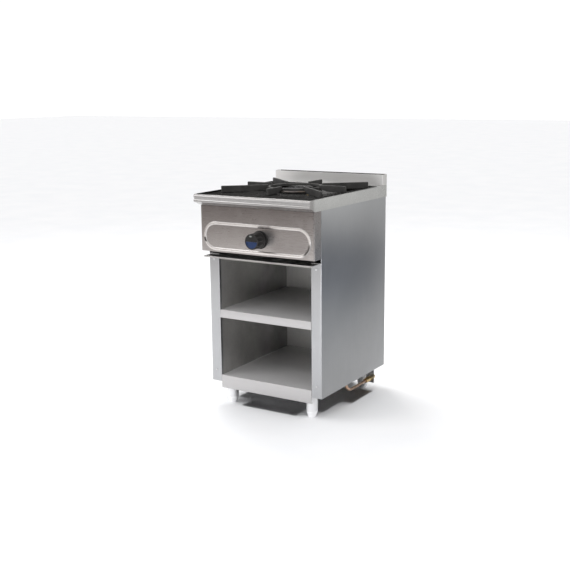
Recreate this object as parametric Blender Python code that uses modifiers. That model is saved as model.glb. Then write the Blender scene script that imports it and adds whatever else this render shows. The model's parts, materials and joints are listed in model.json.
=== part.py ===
"""Commercial gas range: one open burner on an open two-compartment cabinet.

Metres, +Z up. The origin is on the floor, under the middle of the range. The front faces -Y, and
+X is to the right seen from the front. Every sub-part is one object, and each object is one closed
solid. Touching pieces keep a gap of GAP.
"""

import math

import bmesh
import bpy
from mathutils import Matrix, Vector

# Driving dimensions
WORKTOP_WIDTH = 0.506
BODY_WIDTH = 0.500
DEPTH = 0.618
WORKTOP_HEIGHT = 0.842
BACKSPLASH_RISE = 0.044
PANEL_SETBACK = 0.038
KNOB_REACH = 0.058
SHEET = 0.0012
GAP = 0.0003

# Planes across the depth and the height, worked out from the driving dimensions. The knob stands
# out in front of the worktop, and the origin is midway between its face and the rear panel.
KNOB_OVERHANG = KNOB_REACH - PANEL_SETBACK
FRONT = (KNOB_OVERHANG - DEPTH) / 2
BACK = FRONT + DEPTH
PANEL_Y = FRONT + PANEL_SETBACK
POST_Y = FRONT + 0.088
LINER_BACK_Y = FRONT + 0.588
BACKSPLASH_Y = BACK - 0.036
REAR_INNER_Y = BACK - SHEET - GAP
BODY_HALF = BODY_WIDTH / 2
SIDE_INNER_X = BODY_HALF - SHEET
POST_WIDTH = 0.045
POST_INNER_X = BODY_HALF - POST_WIDTH
BODY_BOTTOM = 0.092
DECK_UNDERSIDE = WORKTOP_HEIGHT - SHEET

# Shelves and compartments
MIDDLE_SHELF_Z = 0.384
MIDDLE_SHELF_FOLD = 0.032
BOTTOM_SHELF_Z = 0.119
KICK_DEPTH = 0.0525
CEILING_Z = 0.5863
POST_TOP = 0.606

# Control panel
PANEL_BOTTOM = 0.622
PANEL_TOP = 0.7975
PANEL_HALF = BODY_HALF - 0.001
TRACK_Z = 0.683
TRACK_RADIUS = 0.0495
TRACK_HALF = 0.231
BEAD_RADIUS = 0.0065
BEAD_FLATNESS = 0.6

# Knob and gas tap, on one axis along Y
KNOB_X = 0.018
KNOB_RADIUS = 0.031
KNOB_STANDOFF = 0.009
SPINDLE_RADIUS = 0.004
SPINDLE_HOLE = 0.0075
TAP_OUTLET_Z = TRACK_Z + 0.032

# Drip tray
TRAY_HALF = 0.200
TRAY_LIP_HALF = 0.240
TRAY_TOP = 0.6035
TRAY_BACK_Y = FRONT + 0.560

# Burner and pan support, on one axis along Z
BURNER_Y = FRONT + 0.325
HEAD_RADIUS = 0.054
BURNER_HOLE = 0.075
BURNER_PIPE_Z = 0.786
BOWL_BOTTOM = 0.7645
BOWL_TOP = 0.8255
BOWL_RADIUS = 0.048
BOSS_REACH = 0.062
HEAD_TOP = 0.8405
MIXING_TUBE_LENGTH = 0.095
HOLDER_FRONT = FRONT + 0.130
HOLDER_BACK = FRONT + 0.155
SUPPORT_TOP = 0.862
SUPPORT_CORNER = (0.220, 0.190)
SUPPORT_SIDE = 0.222
SUPPORT_FRONT = 0.205
SUPPORT_RING = (0.100, 0.112)
SUPPORT_RING_DROP = 0.0075
ARM_THICKNESS = 0.009

# Pilot burner and thermocouple, on a circle round the burner's axis
PILOT_ANGLE = math.radians(-12)
THERMOCOUPLE_ANGLE = math.radians(12)
PILOT_RING = 0.0645
PILOT_BRACKET_Z = 0.810

# Spill plate: its rim lies on the worktop, its land carries the pan support, its dish catches spills
PLATE_THICKNESS = 0.0015
PLATE_HALF = 0.2475
PLATE_FRONT = FRONT + 0.010
PLATE_BACK = FRONT + 0.5425
PLATE_RIM = 0.0055
LAND_Z = 0.8375
DISH_HALF = 0.205
DISH_FRONT = FRONT + 0.185
DISH_BACK = FRONT + 0.465
DISH_FLOOR = 0.8305

# Gas line under the cabinet
PIPE_RADIUS = 0.006
RISER_X = 0.229
RISER_Y = FRONT + 0.312
INLET_Z = 0.052
MANIFOLD_RADIUS = 0.0105
MANIFOLD_Y = FRONT + 0.080
MANIFOLD_Z = 0.648
BRACKET_Y = FRONT + 0.530
FITTING_REACH = 0.030

# Legs
LEG_X = 0.182
LEG_FRONT_Y = FRONT + 0.132
LEG_REAR_Y = FRONT + 0.555
LEG_RADIUS = 0.022
LEG_WALL = 0.0025
LEG_BOTTOM = 0.026
FOOT_STEM_TOP = 0.078
CHANNEL_HALF = 0.0275

# Screws in the post faces: their places from the middle and up from the floor
SCREW_X = 0.2275
POST_SCREWS = (0.582, 0.137)
SCREW_HOLE = 0.0024

# Sides of round pieces, and the reach of a cutter past the sheet that it cuts
ROUND_STEPS = 32
SMALL_STEPS = 16
CLEAR = 0.010


# Scene and materials

def clear_scene():
    for obj in list(bpy.data.objects):
        bpy.data.objects.remove(obj, do_unlink=True)


def new_collection(name, hidden=False):
    collection = bpy.data.collections.new(name)
    collection.hide_render = hidden
    bpy.context.scene.collection.children.link(collection)
    return collection


def make_material(name, colour, roughness, metallic):
    mat = bpy.data.materials.new(name)
    mat.use_nodes = True
    shader = mat.node_tree.nodes["Principled BSDF"]
    shader.inputs["Base Color"].default_value = (*colour, 1.0)
    shader.inputs["Roughness"].default_value = roughness
    shader.inputs["Metallic"].default_value = metallic
    return mat


clear_scene()
PARTS = new_collection("commercial_gas_range")
CUTTERS = new_collection("cutters", hidden=True)
STAINLESS = (0.62, 0.62, 0.62)
GALVANISED = (0.45, 0.46, 0.47)
FINISHES = {
    "stainless": (STAINLESS, 0.32, 1.0),
    "galvanised": (GALVANISED, 0.5, 1.0),
    "enamel": ((0.012, 0.012, 0.013), 0.25, 0.0),
    "cast_iron": ((0.02, 0.02, 0.021), 0.6, 0.3),
    "burner_alloy": ((0.45, 0.42, 0.4), 0.45, 1.0),
    "brass": ((0.7, 0.5, 0.22), 0.3, 1.0),
    "copper": ((0.72, 0.4, 0.24), 0.3, 1.0),
    "black_plastic": ((0.015, 0.015, 0.017), 0.35, 0.0),
    "blue_plastic": ((0.03, 0.1, 0.35), 0.25, 0.0),
    "chrome": ((0.8, 0.8, 0.8), 0.12, 1.0),
    "steel": ((0.55, 0.55, 0.56), 0.4, 1.0),
}


def finish(obj, kind):
    """Give the object a material of its own, in one of the finishes."""
    obj.data.materials.clear()
    obj.data.materials.append(make_material(obj.name, *FINISHES[kind]))


# Shape helpers

def place(name, data, kind=None, at=(0, 0, 0)):
    """Link an object into the parts, or into the cutters when it has no finish."""
    obj = bpy.data.objects.new(name, data)
    obj.location = at
    if kind is None:
        CUTTERS.objects.link(obj)
        obj.hide_render = True
        obj.display_type = "WIRE"
    else:
        PARTS.objects.link(obj)
        finish(obj, kind)
    return obj


def mesh_from(bm, name, smooth=False):
    bmesh.ops.recalc_face_normals(bm, faces=bm.faces)
    mesh = bpy.data.meshes.new(name)
    bm.to_mesh(mesh)
    bm.free()
    if smooth:
        mesh.shade_smooth()
        mesh.set_sharp_from_angle(angle=math.radians(35))
    return mesh


def box(name, low, high, kind=None, bevel=0.0):
    """A box from its low and high corners, with its origin at its middle."""
    low, high = Vector(low), Vector(high)
    bm = bmesh.new()
    bmesh.ops.create_cube(bm, size=1.0)
    bmesh.ops.scale(bm, vec=high - low, verts=bm.verts)
    obj = place(name, mesh_from(bm, name), kind, (low + high) / 2)
    if bevel:
        add_bevel(obj, bevel)
    return obj


def add_bevel(obj, width):
    modifier = obj.modifiers.new("edges", "BEVEL")
    modifier.width = width
    modifier.segments = 2
    modifier.limit_method = "ANGLE"


def boolean(obj, other, operation):
    modifier = obj.modifiers.new(operation.lower(), "BOOLEAN")
    modifier.operation = operation
    modifier.solver = "EXACT"
    modifier.object = other


def cut(obj, *cutters):
    for cutter in cutters:
        boolean(obj, cutter, "DIFFERENCE")


def unite(obj, *others):
    for other in others:
        boolean(obj, other, "UNION")


def cylinder(name, radius, start, end, kind=None, sides=ROUND_STEPS):
    """A cylinder or hexagon bar from one point to another."""
    start, end = Vector(start), Vector(end)
    bm = bmesh.new()
    bmesh.ops.create_cone(
        bm,
        cap_ends=True,
        segments=sides,
        radius1=radius,
        radius2=radius,
        depth=(end - start).length,
    )
    obj = place(name, mesh_from(bm, name, smooth=sides > 6), kind, (start + end) / 2)
    obj.rotation_euler = (end - start).to_track_quat("Z", "Y").to_euler()
    return obj


def turned(name, profile, at, kind=None, axis="Z", steps=ROUND_STEPS, closed=False):
    """A turned shape. The profile's (radius, height) points run down its outer side from the top."""
    bm = bmesh.new()
    verts = [bm.verts.new((radius, 0, height)) for radius, height in profile]
    for first, second in zip(verts, verts[1:]):
        bm.edges.new((first, second))
    if closed:
        bm.edges.new((verts[-1], verts[0]))
    mesh = bpy.data.meshes.new(name)
    bm.to_mesh(mesh)
    bm.free()
    obj = place(name, mesh, kind, at)
    # Along -Y, the profile's top is the end nearest the front.
    if axis == "-Y":
        obj.rotation_euler = (math.radians(90), 0, 0)
    screw = obj.modifiers.new("turn", "SCREW")
    screw.steps = steps
    screw.render_steps = steps
    screw.use_merge_vertices = True
    screw.merge_threshold = 0.00001
    screw.use_smooth_shade = True
    return obj


def rounded(points, radius, steps=3):
    """The open path through the points with each inner corner rounded, in two or three dimensions."""
    points = [Vector(point) for point in points]
    path = [points[0]]
    for before, corner, after in zip(points, points[1:], points[2:]):
        inward, outward = (before - corner).normalized(), (after - corner).normalized()
        angle = inward.angle(outward)
        reach = radius / math.tan(angle / 2)
        centre = corner + (inward + outward).normalized() * (radius / math.sin(angle / 2))
        start, end = corner + inward * reach - centre, corner + outward * reach - centre
        sweep = math.pi - angle
        for index in range(steps + 1):
            share = index / steps
            low = math.sin((1 - share) * sweep) / math.sin(sweep)
            high = math.sin(share * sweep) / math.sin(sweep)
            path.append(centre + start * low + end * high)
    path.append(points[-1])
    return path


def across(point, level, along):
    """The 3-D place of a (u, v) point in the plane at a level along an axis."""
    place_of_level = "XYZ".index(along)
    coordinates = list(point)
    coordinates.insert(place_of_level, level)
    return Vector(coordinates)


def drawn_out(bm, made, low, high, along):
    """Move what an extrusion made from low to high along an axis."""
    moved = [item for item in made if isinstance(item, bmesh.types.BMVert)]
    bmesh.ops.translate(bm, verts=moved, vec=across((0, 0), high - low, along))


def folded_sheet(name, path, low, high, along, kind=None, side=-1, thickness=SHEET):
    """A bent sheet: the path's skin runs from low to high along an axis, and side sets its thick side."""
    bm = bmesh.new()
    verts = [bm.verts.new(across(point, low, along)) for point in path]
    edges = [bm.edges.new(pair) for pair in zip(verts, verts[1:])]
    drawn_out(bm, bmesh.ops.extrude_edge_only(bm, edges=edges)["geom"], low, high, along)
    bmesh.ops.recalc_face_normals(bm, faces=bm.faces)
    # The normals are turned to one known side of the path, so that side means the same on every sheet.
    known = (verts[1].co - verts[0].co).cross(across((0, 0), 1.0, along))
    if edges[0].link_faces[0].normal.dot(known) < 0:
        bmesh.ops.reverse_faces(bm, faces=bm.faces)
    mesh = bpy.data.meshes.new(name)
    bm.to_mesh(mesh)
    bm.free()
    obj = place(name, mesh, kind)
    thicken(obj, thickness, side)
    return obj


def thicken(obj, thickness, side=-1):
    modifier = obj.modifiers.new("sheet", "SOLIDIFY")
    modifier.thickness = thickness
    modifier.offset = side
    modifier.use_even_offset = True


def prism(name, outline, low, high, along, kind=None):
    """A closed outline of (u, v) points drawn out from low to high along an axis."""
    bm = bmesh.new()
    face = bm.faces.new([bm.verts.new(across(point, low, along)) for point in outline])
    drawn_out(bm, bmesh.ops.extrude_face_region(bm, geom=[face])["geom"], low, high, along)
    return place(name, mesh_from(bm, name), kind)


def rounded_rectangle(half, low, high, radius, steps=5):
    """The outline of a rectangle with round corners, symmetric about X = 0."""
    centres = [
        (half - radius, high - radius, 0),
        (radius - half, high - radius, 90),
        (radius - half, low + radius, 180),
        (half - radius, low + radius, 270),
    ]
    outline = []
    for x, y, start in centres:
        for index in range(steps + 1):
            angle = math.radians(start + 90 * index / steps)
            outline.append((x + radius * math.cos(angle), y + radius * math.sin(angle)))
    return outline


def pipe(name, route, radius, kind=None, bend=0.0, cyclic=False, resolution=2, steps=6):
    """A round bar along a route, its corners bent to one radius."""
    points = rounded(route, bend, steps) if bend else [Vector(point) for point in route]
    curve = bpy.data.curves.new(name, "CURVE")
    curve.dimensions = "3D"
    curve.bevel_depth = radius
    curve.bevel_resolution = resolution
    curve.use_fill_caps = not cyclic
    spline = curve.splines.new("POLY")
    spline.points.add(len(points) - 1)
    for spot, point in zip(spline.points, points):
        spot.co = (*point, 1.0)
    spline.use_cyclic_u = cyclic
    return place(name, curve, kind)


def meshed(obj, flatten_y=None, pivot_y=0.0):
    """A curve made a mesh, and flattened about a plane of constant Y where asked."""
    graph = bpy.context.evaluated_depsgraph_get()
    mesh = bpy.data.meshes.new_from_object(obj.evaluated_get(graph))
    bm = bmesh.new()
    bm.from_mesh(mesh)
    bmesh.ops.remove_doubles(bm, verts=bm.verts, dist=0.00001)
    if flatten_y is not None:
        for vert in bm.verts:
            vert.co.y = pivot_y + (vert.co.y - pivot_y) * flatten_y
    bmesh.ops.recalc_face_normals(bm, faces=bm.faces)
    bm.to_mesh(mesh)
    bm.free()
    result = place(obj.name + "_mesh", mesh)
    result.matrix_world = obj.matrix_world.copy()
    bpy.data.objects.remove(obj, do_unlink=True)
    return result


# Worktop, backsplash and hob

def nose_path():
    """The worktop's front edge in (y, z), up from the control panel and round two rolled beads."""
    path = [(PANEL_Y - 0.0015, PANEL_TOP + 0.001), (FRONT + 0.009, 0.8112)]
    for centre_y, centre_z, radius, first, last in (
        (FRONT + 0.0065, 0.8180, 0.0065, -60, 70),
        (FRONT + 0.0075, WORKTOP_HEIGHT - 0.0075, 0.0075, -55, 90),
    ):
        for index in range(6):
            angle = math.radians(first + (last - first) * index / 5)
            path.append((centre_y - radius * math.cos(angle), centre_z + radius * math.sin(angle)))
    return path


def make_worktop():
    """The pressed top: the extruded nose and deck with both side skirts, open below and behind."""
    half = WORKTOP_WIDTH / 2
    outline = nose_path() + [(REAR_INNER_Y, WORKTOP_HEIGHT), (REAR_INNER_Y, PANEL_TOP - 0.002)]
    bm = bmesh.new()
    face = bm.faces.new([bm.verts.new(across(point, -half, "X")) for point in outline])
    drawn_out(bm, bmesh.ops.extrude_face_region(bm, geom=[face])["geom"], -half, half, "X")
    bmesh.ops.recalc_face_normals(bm, faces=bm.faces)
    below = [face for face in bm.faces if face.normal.z < -0.9 and face.calc_area() > 0.1]
    behind = [face for face in bm.faces if face.normal.y > 0.9]
    bmesh.ops.delete(bm, geom=below + behind, context="FACES")
    mesh = bpy.data.meshes.new("worktop")
    bm.to_mesh(mesh)
    bm.free()
    worktop = place("worktop", mesh, "stainless")
    thicken(worktop, SHEET)
    bottom, top = DECK_UNDERSIDE - CLEAR, WORKTOP_HEIGHT + CLEAR
    inset = PLATE_RIM - PLATE_THICKNESS - 0.001
    outline = rounded_rectangle(PLATE_HALF - inset, PLATE_FRONT + inset, PLATE_BACK - inset, 0.006, 3)
    cut(worktop, prism("hob_opening", outline, bottom, top, "Z"))
    flue_half, flue_front, flue_back = 0.220, BACKSPLASH_Y + 0.006, BACK - 0.008
    cut(worktop, box("flue_opening", (-flue_half, flue_front, bottom), (flue_half, flue_back, top)))


def make_backsplash():
    """A low wall folded back at both ends. Its open top lets the burner's fumes out."""
    half = WORKTOP_WIDTH / 2
    path = rounded(
        [
            (-half, REAR_INNER_Y),
            (-half, BACKSPLASH_Y),
            (half, BACKSPLASH_Y),
            (half, REAR_INNER_Y),
        ],
        0.003,
    )
    top = WORKTOP_HEIGHT + BACKSPLASH_RISE
    folded_sheet("backsplash", path, WORKTOP_HEIGHT + GAP, top, "Z", "stainless", side=-1)


def make_spill_plate():
    """An enamelled plate in three steps: the rim on the deck, the land, and the dish with its collar."""
    rim_z = WORKTOP_HEIGHT + GAP
    top = rim_z + PLATE_THICKNESS
    wall = PLATE_THICKNESS
    middle_y = (PLATE_FRONT + PLATE_BACK) / 2

    def outline(inset, radius):
        return rounded_rectangle(
            PLATE_HALF - inset, PLATE_FRONT + inset - middle_y, PLATE_BACK - inset - middle_y, radius, 3
        )

    plate = prism("spill_plate", outline(0.0, 0.006), rim_z, top, "Z", "enamel")
    plate.location.y = middle_y
    recess = prism("recess_outside", outline(PLATE_RIM - wall, 0.0055), LAND_Z - wall, top - wall / 3, "Z")
    recess.location.y = middle_y
    hollow = prism("recess_inside", outline(PLATE_RIM, 0.004), LAND_Z, top + CLEAR, "Z")
    hollow.location.y = middle_y
    unite(plate, recess)
    cut(plate, hollow)
    dish_outside = rounded_rectangle(DISH_HALF + wall, DISH_FRONT - wall, DISH_BACK + wall, 0.0265)
    dish_inside = rounded_rectangle(DISH_HALF, DISH_FRONT, DISH_BACK, 0.025)
    unite(plate, prism("dish_outside", dish_outside, DISH_FLOOR - wall, LAND_Z - wall / 3, "Z"))
    cut(plate, prism("dish_inside", dish_inside, DISH_FLOOR, LAND_Z + CLEAR, "Z"))
    collar_height = 0.005
    low = Vector((0, BURNER_Y, DISH_FLOOR - wall))
    high = Vector((0, BURNER_Y, DISH_FLOOR + collar_height))
    clear = Vector((0, 0, CLEAR))
    unite(plate, cylinder("collar", BURNER_HOLE + wall, low, high))
    cut(plate, cylinder("collar_hole", BURNER_HOLE, low - clear, high + clear))


def arm_outline(reach):
    """An arm's side in (distance from the burner's axis, z): its foot outside, shallower at the ring."""
    inner = sum(SUPPORT_RING) / 2
    inner_z = SUPPORT_TOP - 0.016
    foot_z = LAND_Z + GAP
    foot_from = inner + 0.37 * (reach - inner)
    corner = 0.002
    return [
        (inner + corner, SUPPORT_TOP),
        (inner, SUPPORT_TOP - corner),
        (inner, inner_z),
        (SUPPORT_RING[1] + corner, inner_z),
        (foot_from, foot_z),
        (reach, foot_z),
        (reach, SUPPORT_TOP - corner),
        (reach - corner, SUPPORT_TOP),
    ]


def make_pan_support():
    """Eight upright arms cast onto a lower ring. Four point to the corners and four to the sides."""
    ring_inner, ring_outer = SUPPORT_RING
    ring_top = SUPPORT_TOP - SUPPORT_RING_DROP
    ring_bottom = ring_top - ARM_THICKNESS
    ring = turned(
        "pan_support",
        [
            (ring_outer, ring_top),
            (ring_outer, ring_bottom),
            (ring_inner, ring_bottom),
            (ring_inner, ring_top),
        ],
        (0, BURNER_Y, 0),
        "cast_iron",
        closed=True,
    )
    corner_reach = math.hypot(*SUPPORT_CORNER)
    corner_turn = math.atan2(SUPPORT_CORNER[1], SUPPORT_CORNER[0])
    arms = [(0, SUPPORT_SIDE), (math.pi, SUPPORT_SIDE)]
    arms += [(math.pi / 2, SUPPORT_FRONT), (-math.pi / 2, SUPPORT_FRONT)]
    arms += [(turn, corner_reach) for turn in (corner_turn, -corner_turn)]
    arms += [(turn, corner_reach) for turn in (math.pi - corner_turn, math.pi + corner_turn)]
    for index, (turn, reach) in enumerate(arms):
        half = ARM_THICKNESS / 2
        arm = prism(f"support_arm_{index}", arm_outline(reach), -half, half, "Y")
        arm.matrix_world = Matrix.Translation((0, BURNER_Y, 0)) @ Matrix.Rotation(turn, 4, "Z")
        unite(ring, arm)


# Burner

def make_burner_bowl():
    """The cast cup under the burner head, with a bored boss for the mixing tube."""
    bowl = turned(
        "burner_bowl",
        [
            (0.000, BOWL_BOTTOM + 0.004),
            (BOWL_RADIUS - 0.004, BOWL_BOTTOM + 0.004),
            (BOWL_RADIUS - 0.004, BOWL_TOP),
            (BOWL_RADIUS, BOWL_TOP),
            (BOWL_RADIUS, BOWL_BOTTOM + 0.006),
            (BOWL_RADIUS - 0.006, BOWL_BOTTOM),
            (0.000, BOWL_BOTTOM),
        ],
        (0, BURNER_Y, 0),
        "cast_iron",
    )

    def on_port_axis(ahead):
        return Vector((0, BURNER_Y - ahead, BURNER_PIPE_Z))

    unite(bowl, cylinder("bowl_boss", 0.019, on_port_axis(BOSS_REACH), on_port_axis(0.0455), sides=24))
    port_ends = on_port_axis(BOSS_REACH + CLEAR), on_port_axis(BOWL_RADIUS - 0.018)
    cut(bowl, cylinder("bowl_port", 0.0135, *port_ends, sides=24))


def make_burner_head():
    """The crown on the bowl: its spigot drops into the bowl, and radial slots let the flames out."""
    seat = BOWL_TOP + GAP
    head = turned(
        "burner_head",
        [
            (0.050, HEAD_TOP),
            (HEAD_RADIUS, HEAD_TOP - 0.004),
            (HEAD_RADIUS, seat + 0.003),
            (0.050, seat),
            (0.0435, seat),
            (0.0435, seat - 0.008),
            (0.0385, seat - 0.008),
            (0.030, HEAD_TOP - 0.008),
            (0.030, HEAD_TOP),
        ],
        (0, BURNER_Y, 0),
        "burner_alloy",
        closed=True,
    )
    slots = 10
    bm = bmesh.new()
    for index in range(slots):
        made = bmesh.ops.create_cube(bm, size=1.0)["verts"]
        bmesh.ops.scale(bm, vec=(0.026, 0.0026, 0.006), verts=made)
        bmesh.ops.translate(bm, vec=(0.052, 0, HEAD_TOP), verts=made)
        turn = Matrix.Rotation(2 * math.pi * (index + 0.5) / slots, 3, "Z")
        bmesh.ops.rotate(bm, cent=(0, 0, 0), matrix=turn, verts=made)
    cut(head, place("head_slots", mesh_from(bm, "head_slots"), at=(0, BURNER_Y, 0)))


def make_burner_cap():
    seat = HEAD_TOP + GAP
    turned(
        "burner_cap",
        [
            (0.000, seat + 0.0095),
            (0.020, seat + 0.0090),
            (0.036, seat + 0.0072),
            (0.044, seat + 0.0050),
            (0.047, seat + 0.0025),
            (0.046, seat),
            (0.0295, seat),
            (0.0275, seat - 0.006),
            (0.000, seat - 0.006),
        ],
        (0, BURNER_Y, 0),
        "burner_alloy",
    )


def make_mixing_tube():
    """The venturi: a bored tube that widens towards the injector."""
    length = MIXING_TUBE_LENGTH
    turned(
        "mixing_tube",
        [
            (0.022, length),
            (0.022, length - 0.012),
            (0.016, length - 0.032),
            (0.0175, 0.0),
            (0.0135, 0.0),
            (0.012, length - 0.032),
            (0.018, length - 0.004),
            (0.018, length),
        ],
        (0, BURNER_Y - BOSS_REACH - GAP, BURNER_PIPE_Z),
        "cast_iron",
        axis="-Y",
        closed=True,
        steps=24,
    )


def make_air_shutter():
    """A disc with a middle hole for the injector and six air holes, in front of the venturi's mouth."""
    mouth = Vector((0, BURNER_Y - BOSS_REACH - MIXING_TUBE_LENGTH, BURNER_PIPE_Z))
    middle = mouth - Vector((0, 0.004, 0))
    thickness = Vector((0, 0.0015, 0))
    through = Vector((0, CLEAR, 0))
    shutter = cylinder("air_shutter", 0.022, middle, middle + thickness, "steel", 24)
    cut(shutter, cylinder("shutter_hole", 0.0062, middle - through, middle + through, sides=12))
    for index in range(6):
        angle = math.radians(60 * index + 30)
        spot = middle + Vector((math.cos(angle), 0, math.sin(angle))) * 0.0135
        cut(shutter, cylinder(f"air_hole_{index}", 0.004, spot - through, spot + through, sides=10))


def make_injector():
    """The brass jet and the block that holds it."""
    half = 0.010
    low = (-half, HOLDER_FRONT, BURNER_PIPE_Z - half)
    high = (half, HOLDER_BACK, BURNER_PIPE_Z + half)
    box("injector_holder", low, high, "brass", 0.001)
    turned(
        "injector",
        [
            (0.0015, 0.0),
            (0.0055, 0.0),
            (0.0055, -0.010),
            (0.0035, -0.016),
            (0.0010, -0.016),
        ],
        (0, HOLDER_BACK + GAP, BURNER_PIPE_Z),
        "brass",
        axis="-Y",
        closed=True,
        steps=SMALL_STEPS,
    )


def make_burner_rail():
    """The hat-shaped rail between the side panels that carries the burner."""
    top = BOWL_BOTTOM - GAP
    brim, crown, drop = 0.038, 0.024, 0.012
    path = [
        (BURNER_Y - brim, top - drop),
        (BURNER_Y - crown, top - drop),
        (BURNER_Y - crown, top),
        (BURNER_Y + crown, top),
        (BURNER_Y + crown, top - drop),
        (BURNER_Y + brim, top - drop),
    ]
    half = SIDE_INNER_X - GAP
    folded_sheet("burner_rail", path, -half, half, "X", "galvanised", side=1)


def ring_spot(angle, z=0.0):
    """A point beside the burner head, at an angle round its axis from +X."""
    return Vector((PILOT_RING * math.cos(angle), BURNER_Y + PILOT_RING * math.sin(angle), z))


def make_pilot():
    """The pilot burner and the thermocouple stand beside the head on a bracket from the burner rail."""
    sheet = 0.0015
    outer = 0.080
    bracket = box(
        "pilot_bracket",
        (0.057, BURNER_Y - 0.022, PILOT_BRACKET_Z - sheet),
        (outer, BURNER_Y + 0.022, PILOT_BRACKET_Z),
        "steel",
    )
    leg_low = (outer - sheet, BURNER_Y - 0.010, BOWL_BOTTOM)
    leg_high = (outer, BURNER_Y + 0.010, PILOT_BRACKET_Z - sheet / 2)
    unite(bracket, box("pilot_bracket_leg", leg_low, leg_high))
    turned(
        "pilot_burner",
        [
            (0.0015, 0.031),
            (0.0045, 0.029),
            (0.0050, 0.020),
            (0.0050, 0.0),
            (0.0015, 0.0),
        ],
        ring_spot(PILOT_ANGLE, PILOT_BRACKET_Z + GAP),
        "brass",
        closed=True,
        steps=SMALL_STEPS,
    )
    turned(
        "thermocouple",
        [
            (0.000, 0.032),
            (0.0016, 0.031),
            (0.0016, 0.012),
            (0.0035, 0.011),
            (0.0035, 0.0),
            (0.000, 0.0),
        ],
        ring_spot(THERMOCOUPLE_ANGLE, PILOT_BRACKET_Z + GAP),
        "steel",
        steps=12,
    )


# Control panel, knob and gas line

def racetrack(half, radius, middle_z, y, steps=12):
    """Points round a track with straight long sides and half-round ends, in a plane of constant Y."""
    points = []
    for side, start in ((1, -90), (-1, 90)):
        for index in range(steps + 1):
            angle = math.radians(start + 180 * index / steps)
            x = side * (half - radius) + radius * math.cos(angle)
            points.append((x, y, middle_z + radius * math.sin(angle)))
    return points


def make_control_panel():
    """A folded front with side and bottom returns, and a pressed bead round the knob's field."""
    back_y = POST_Y - GAP - 0.0005
    middle = Vector((0, (PANEL_Y + back_y) / 2, (PANEL_BOTTOM + PANEL_TOP) / 2))
    bm = bmesh.new()
    bmesh.ops.create_cube(bm, size=1.0)
    size = (2 * PANEL_HALF, back_y - PANEL_Y, PANEL_TOP - PANEL_BOTTOM)
    bmesh.ops.scale(bm, vec=size, verts=bm.verts)
    folds = [
        edge
        for edge in bm.edges
        if all(vert.co.y < 0 for vert in edge.verts) and not all(vert.co.z > 0 for vert in edge.verts)
    ]
    bmesh.ops.bevel(bm, geom=folds, offset=0.003, segments=3, affect="EDGES")
    bmesh.ops.recalc_face_normals(bm, faces=bm.faces)
    open_sides = [face for face in bm.faces if face.normal.y > 0.9 or face.normal.z > 0.9]
    bmesh.ops.delete(bm, geom=open_sides, context="FACES")
    mesh = bpy.data.meshes.new("control_panel")
    bm.to_mesh(mesh)
    bm.free()
    panel = place("control_panel", mesh, "stainless", middle)
    thicken(panel, SHEET)
    track = racetrack(TRACK_HALF, TRACK_RADIUS, TRACK_Z, PANEL_Y + SHEET / 2)
    pivot = PANEL_Y + SHEET / 2
    ridge = pipe("bead_ridge", track, BEAD_RADIUS, cyclic=True, resolution=3)
    ridge = meshed(ridge, BEAD_FLATNESS, pivot)
    behind = box(
        "bead_back",
        (-BODY_HALF, pivot, PANEL_BOTTOM - CLEAR),
        (BODY_HALF, pivot + 0.02, PANEL_TOP),
    )
    cut(ridge, behind)
    unite(panel, ridge)
    groove = pipe("bead_groove", track, BEAD_RADIUS - 0.0012, cyclic=True, resolution=2)
    cut(panel, meshed(groove, BEAD_FLATNESS, pivot))
    spot = Vector((KNOB_X, PANEL_Y, TRACK_Z))
    reach = Vector((0, CLEAR, 0))
    cut(panel, cylinder("spindle_hole", SPINDLE_HOLE, spot - reach, spot + reach, sides=SMALL_STEPS))


def on_knob_axis(out):
    """A point on the knob's axis, out in front of the control panel."""
    return Vector((KNOB_X, PANEL_Y - out, TRACK_Z))


def make_knob():
    """The fluted knob, bored for its spindle, with a pocket for the coloured insert below its middle."""
    length = KNOB_REACH - KNOB_STANDOFF
    grip_radius = 0.0295
    pocket_radius = 0.0245
    pocket_depth = 0.0015
    knob = turned(
        "knob",
        [
            (0.0000, length),
            (grip_radius - 0.0030, length),
            (grip_radius - 0.0010, length - 0.0010),
            (grip_radius, length - 0.0030),
            (grip_radius, 0.0120),
            (grip_radius + 0.0005, 0.0090),
            (KNOB_RADIUS, 0.0075),
            (KNOB_RADIUS, 0.0015),
            (KNOB_RADIUS - 0.0015, 0.0000),
            (0.0000, 0.0000),
        ],
        on_knob_axis(KNOB_STANDOFF),
        "black_plastic",
        axis="-Y",
        steps=40,
    )
    flutes, flute_radius, flute_depth = 10, 0.006, 0.0013
    flute_start, flute_end = on_knob_axis(KNOB_STANDOFF + 0.0135), on_knob_axis(KNOB_REACH + CLEAR)
    for index in range(flutes):
        turn = 2 * math.pi * index / flutes
        off_axis = Vector((math.cos(turn), 0, math.sin(turn))) * (grip_radius + flute_radius - flute_depth)
        low, high = flute_start + off_axis, flute_end + off_axis
        cut(knob, cylinder(f"knob_flute_{index}", flute_radius, low, high, sides=SMALL_STEPS))
    floor = on_knob_axis(KNOB_REACH - pocket_depth)
    cut(knob, half_disc("knob_pocket", pocket_radius, floor, pocket_depth + 0.005))
    bore_ends = on_knob_axis(0), on_knob_axis(0.034)
    cut(knob, cylinder("knob_bore", SPINDLE_RADIUS + GAP, *bore_ends, sides=SMALL_STEPS))
    seat = on_knob_axis(KNOB_REACH - pocket_depth + GAP)
    half_disc("knob_insert", pocket_radius - GAP, seat, pocket_depth - GAP, "blue_plastic", lower=GAP)


def half_disc(name, radius, at, height, kind=None, lower=0.0, steps=16):
    """The lower half of a disc that stands out to the front from a point on the knob's axis."""
    turns = [math.pi * (1 + index / steps) for index in range(steps + 1)]
    outline = [(radius * math.cos(turn), radius * math.sin(turn) - lower) for turn in turns]
    disc = prism(name, outline, -height, 0.0, "Y", kind)
    disc.location = at
    return disc


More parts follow.
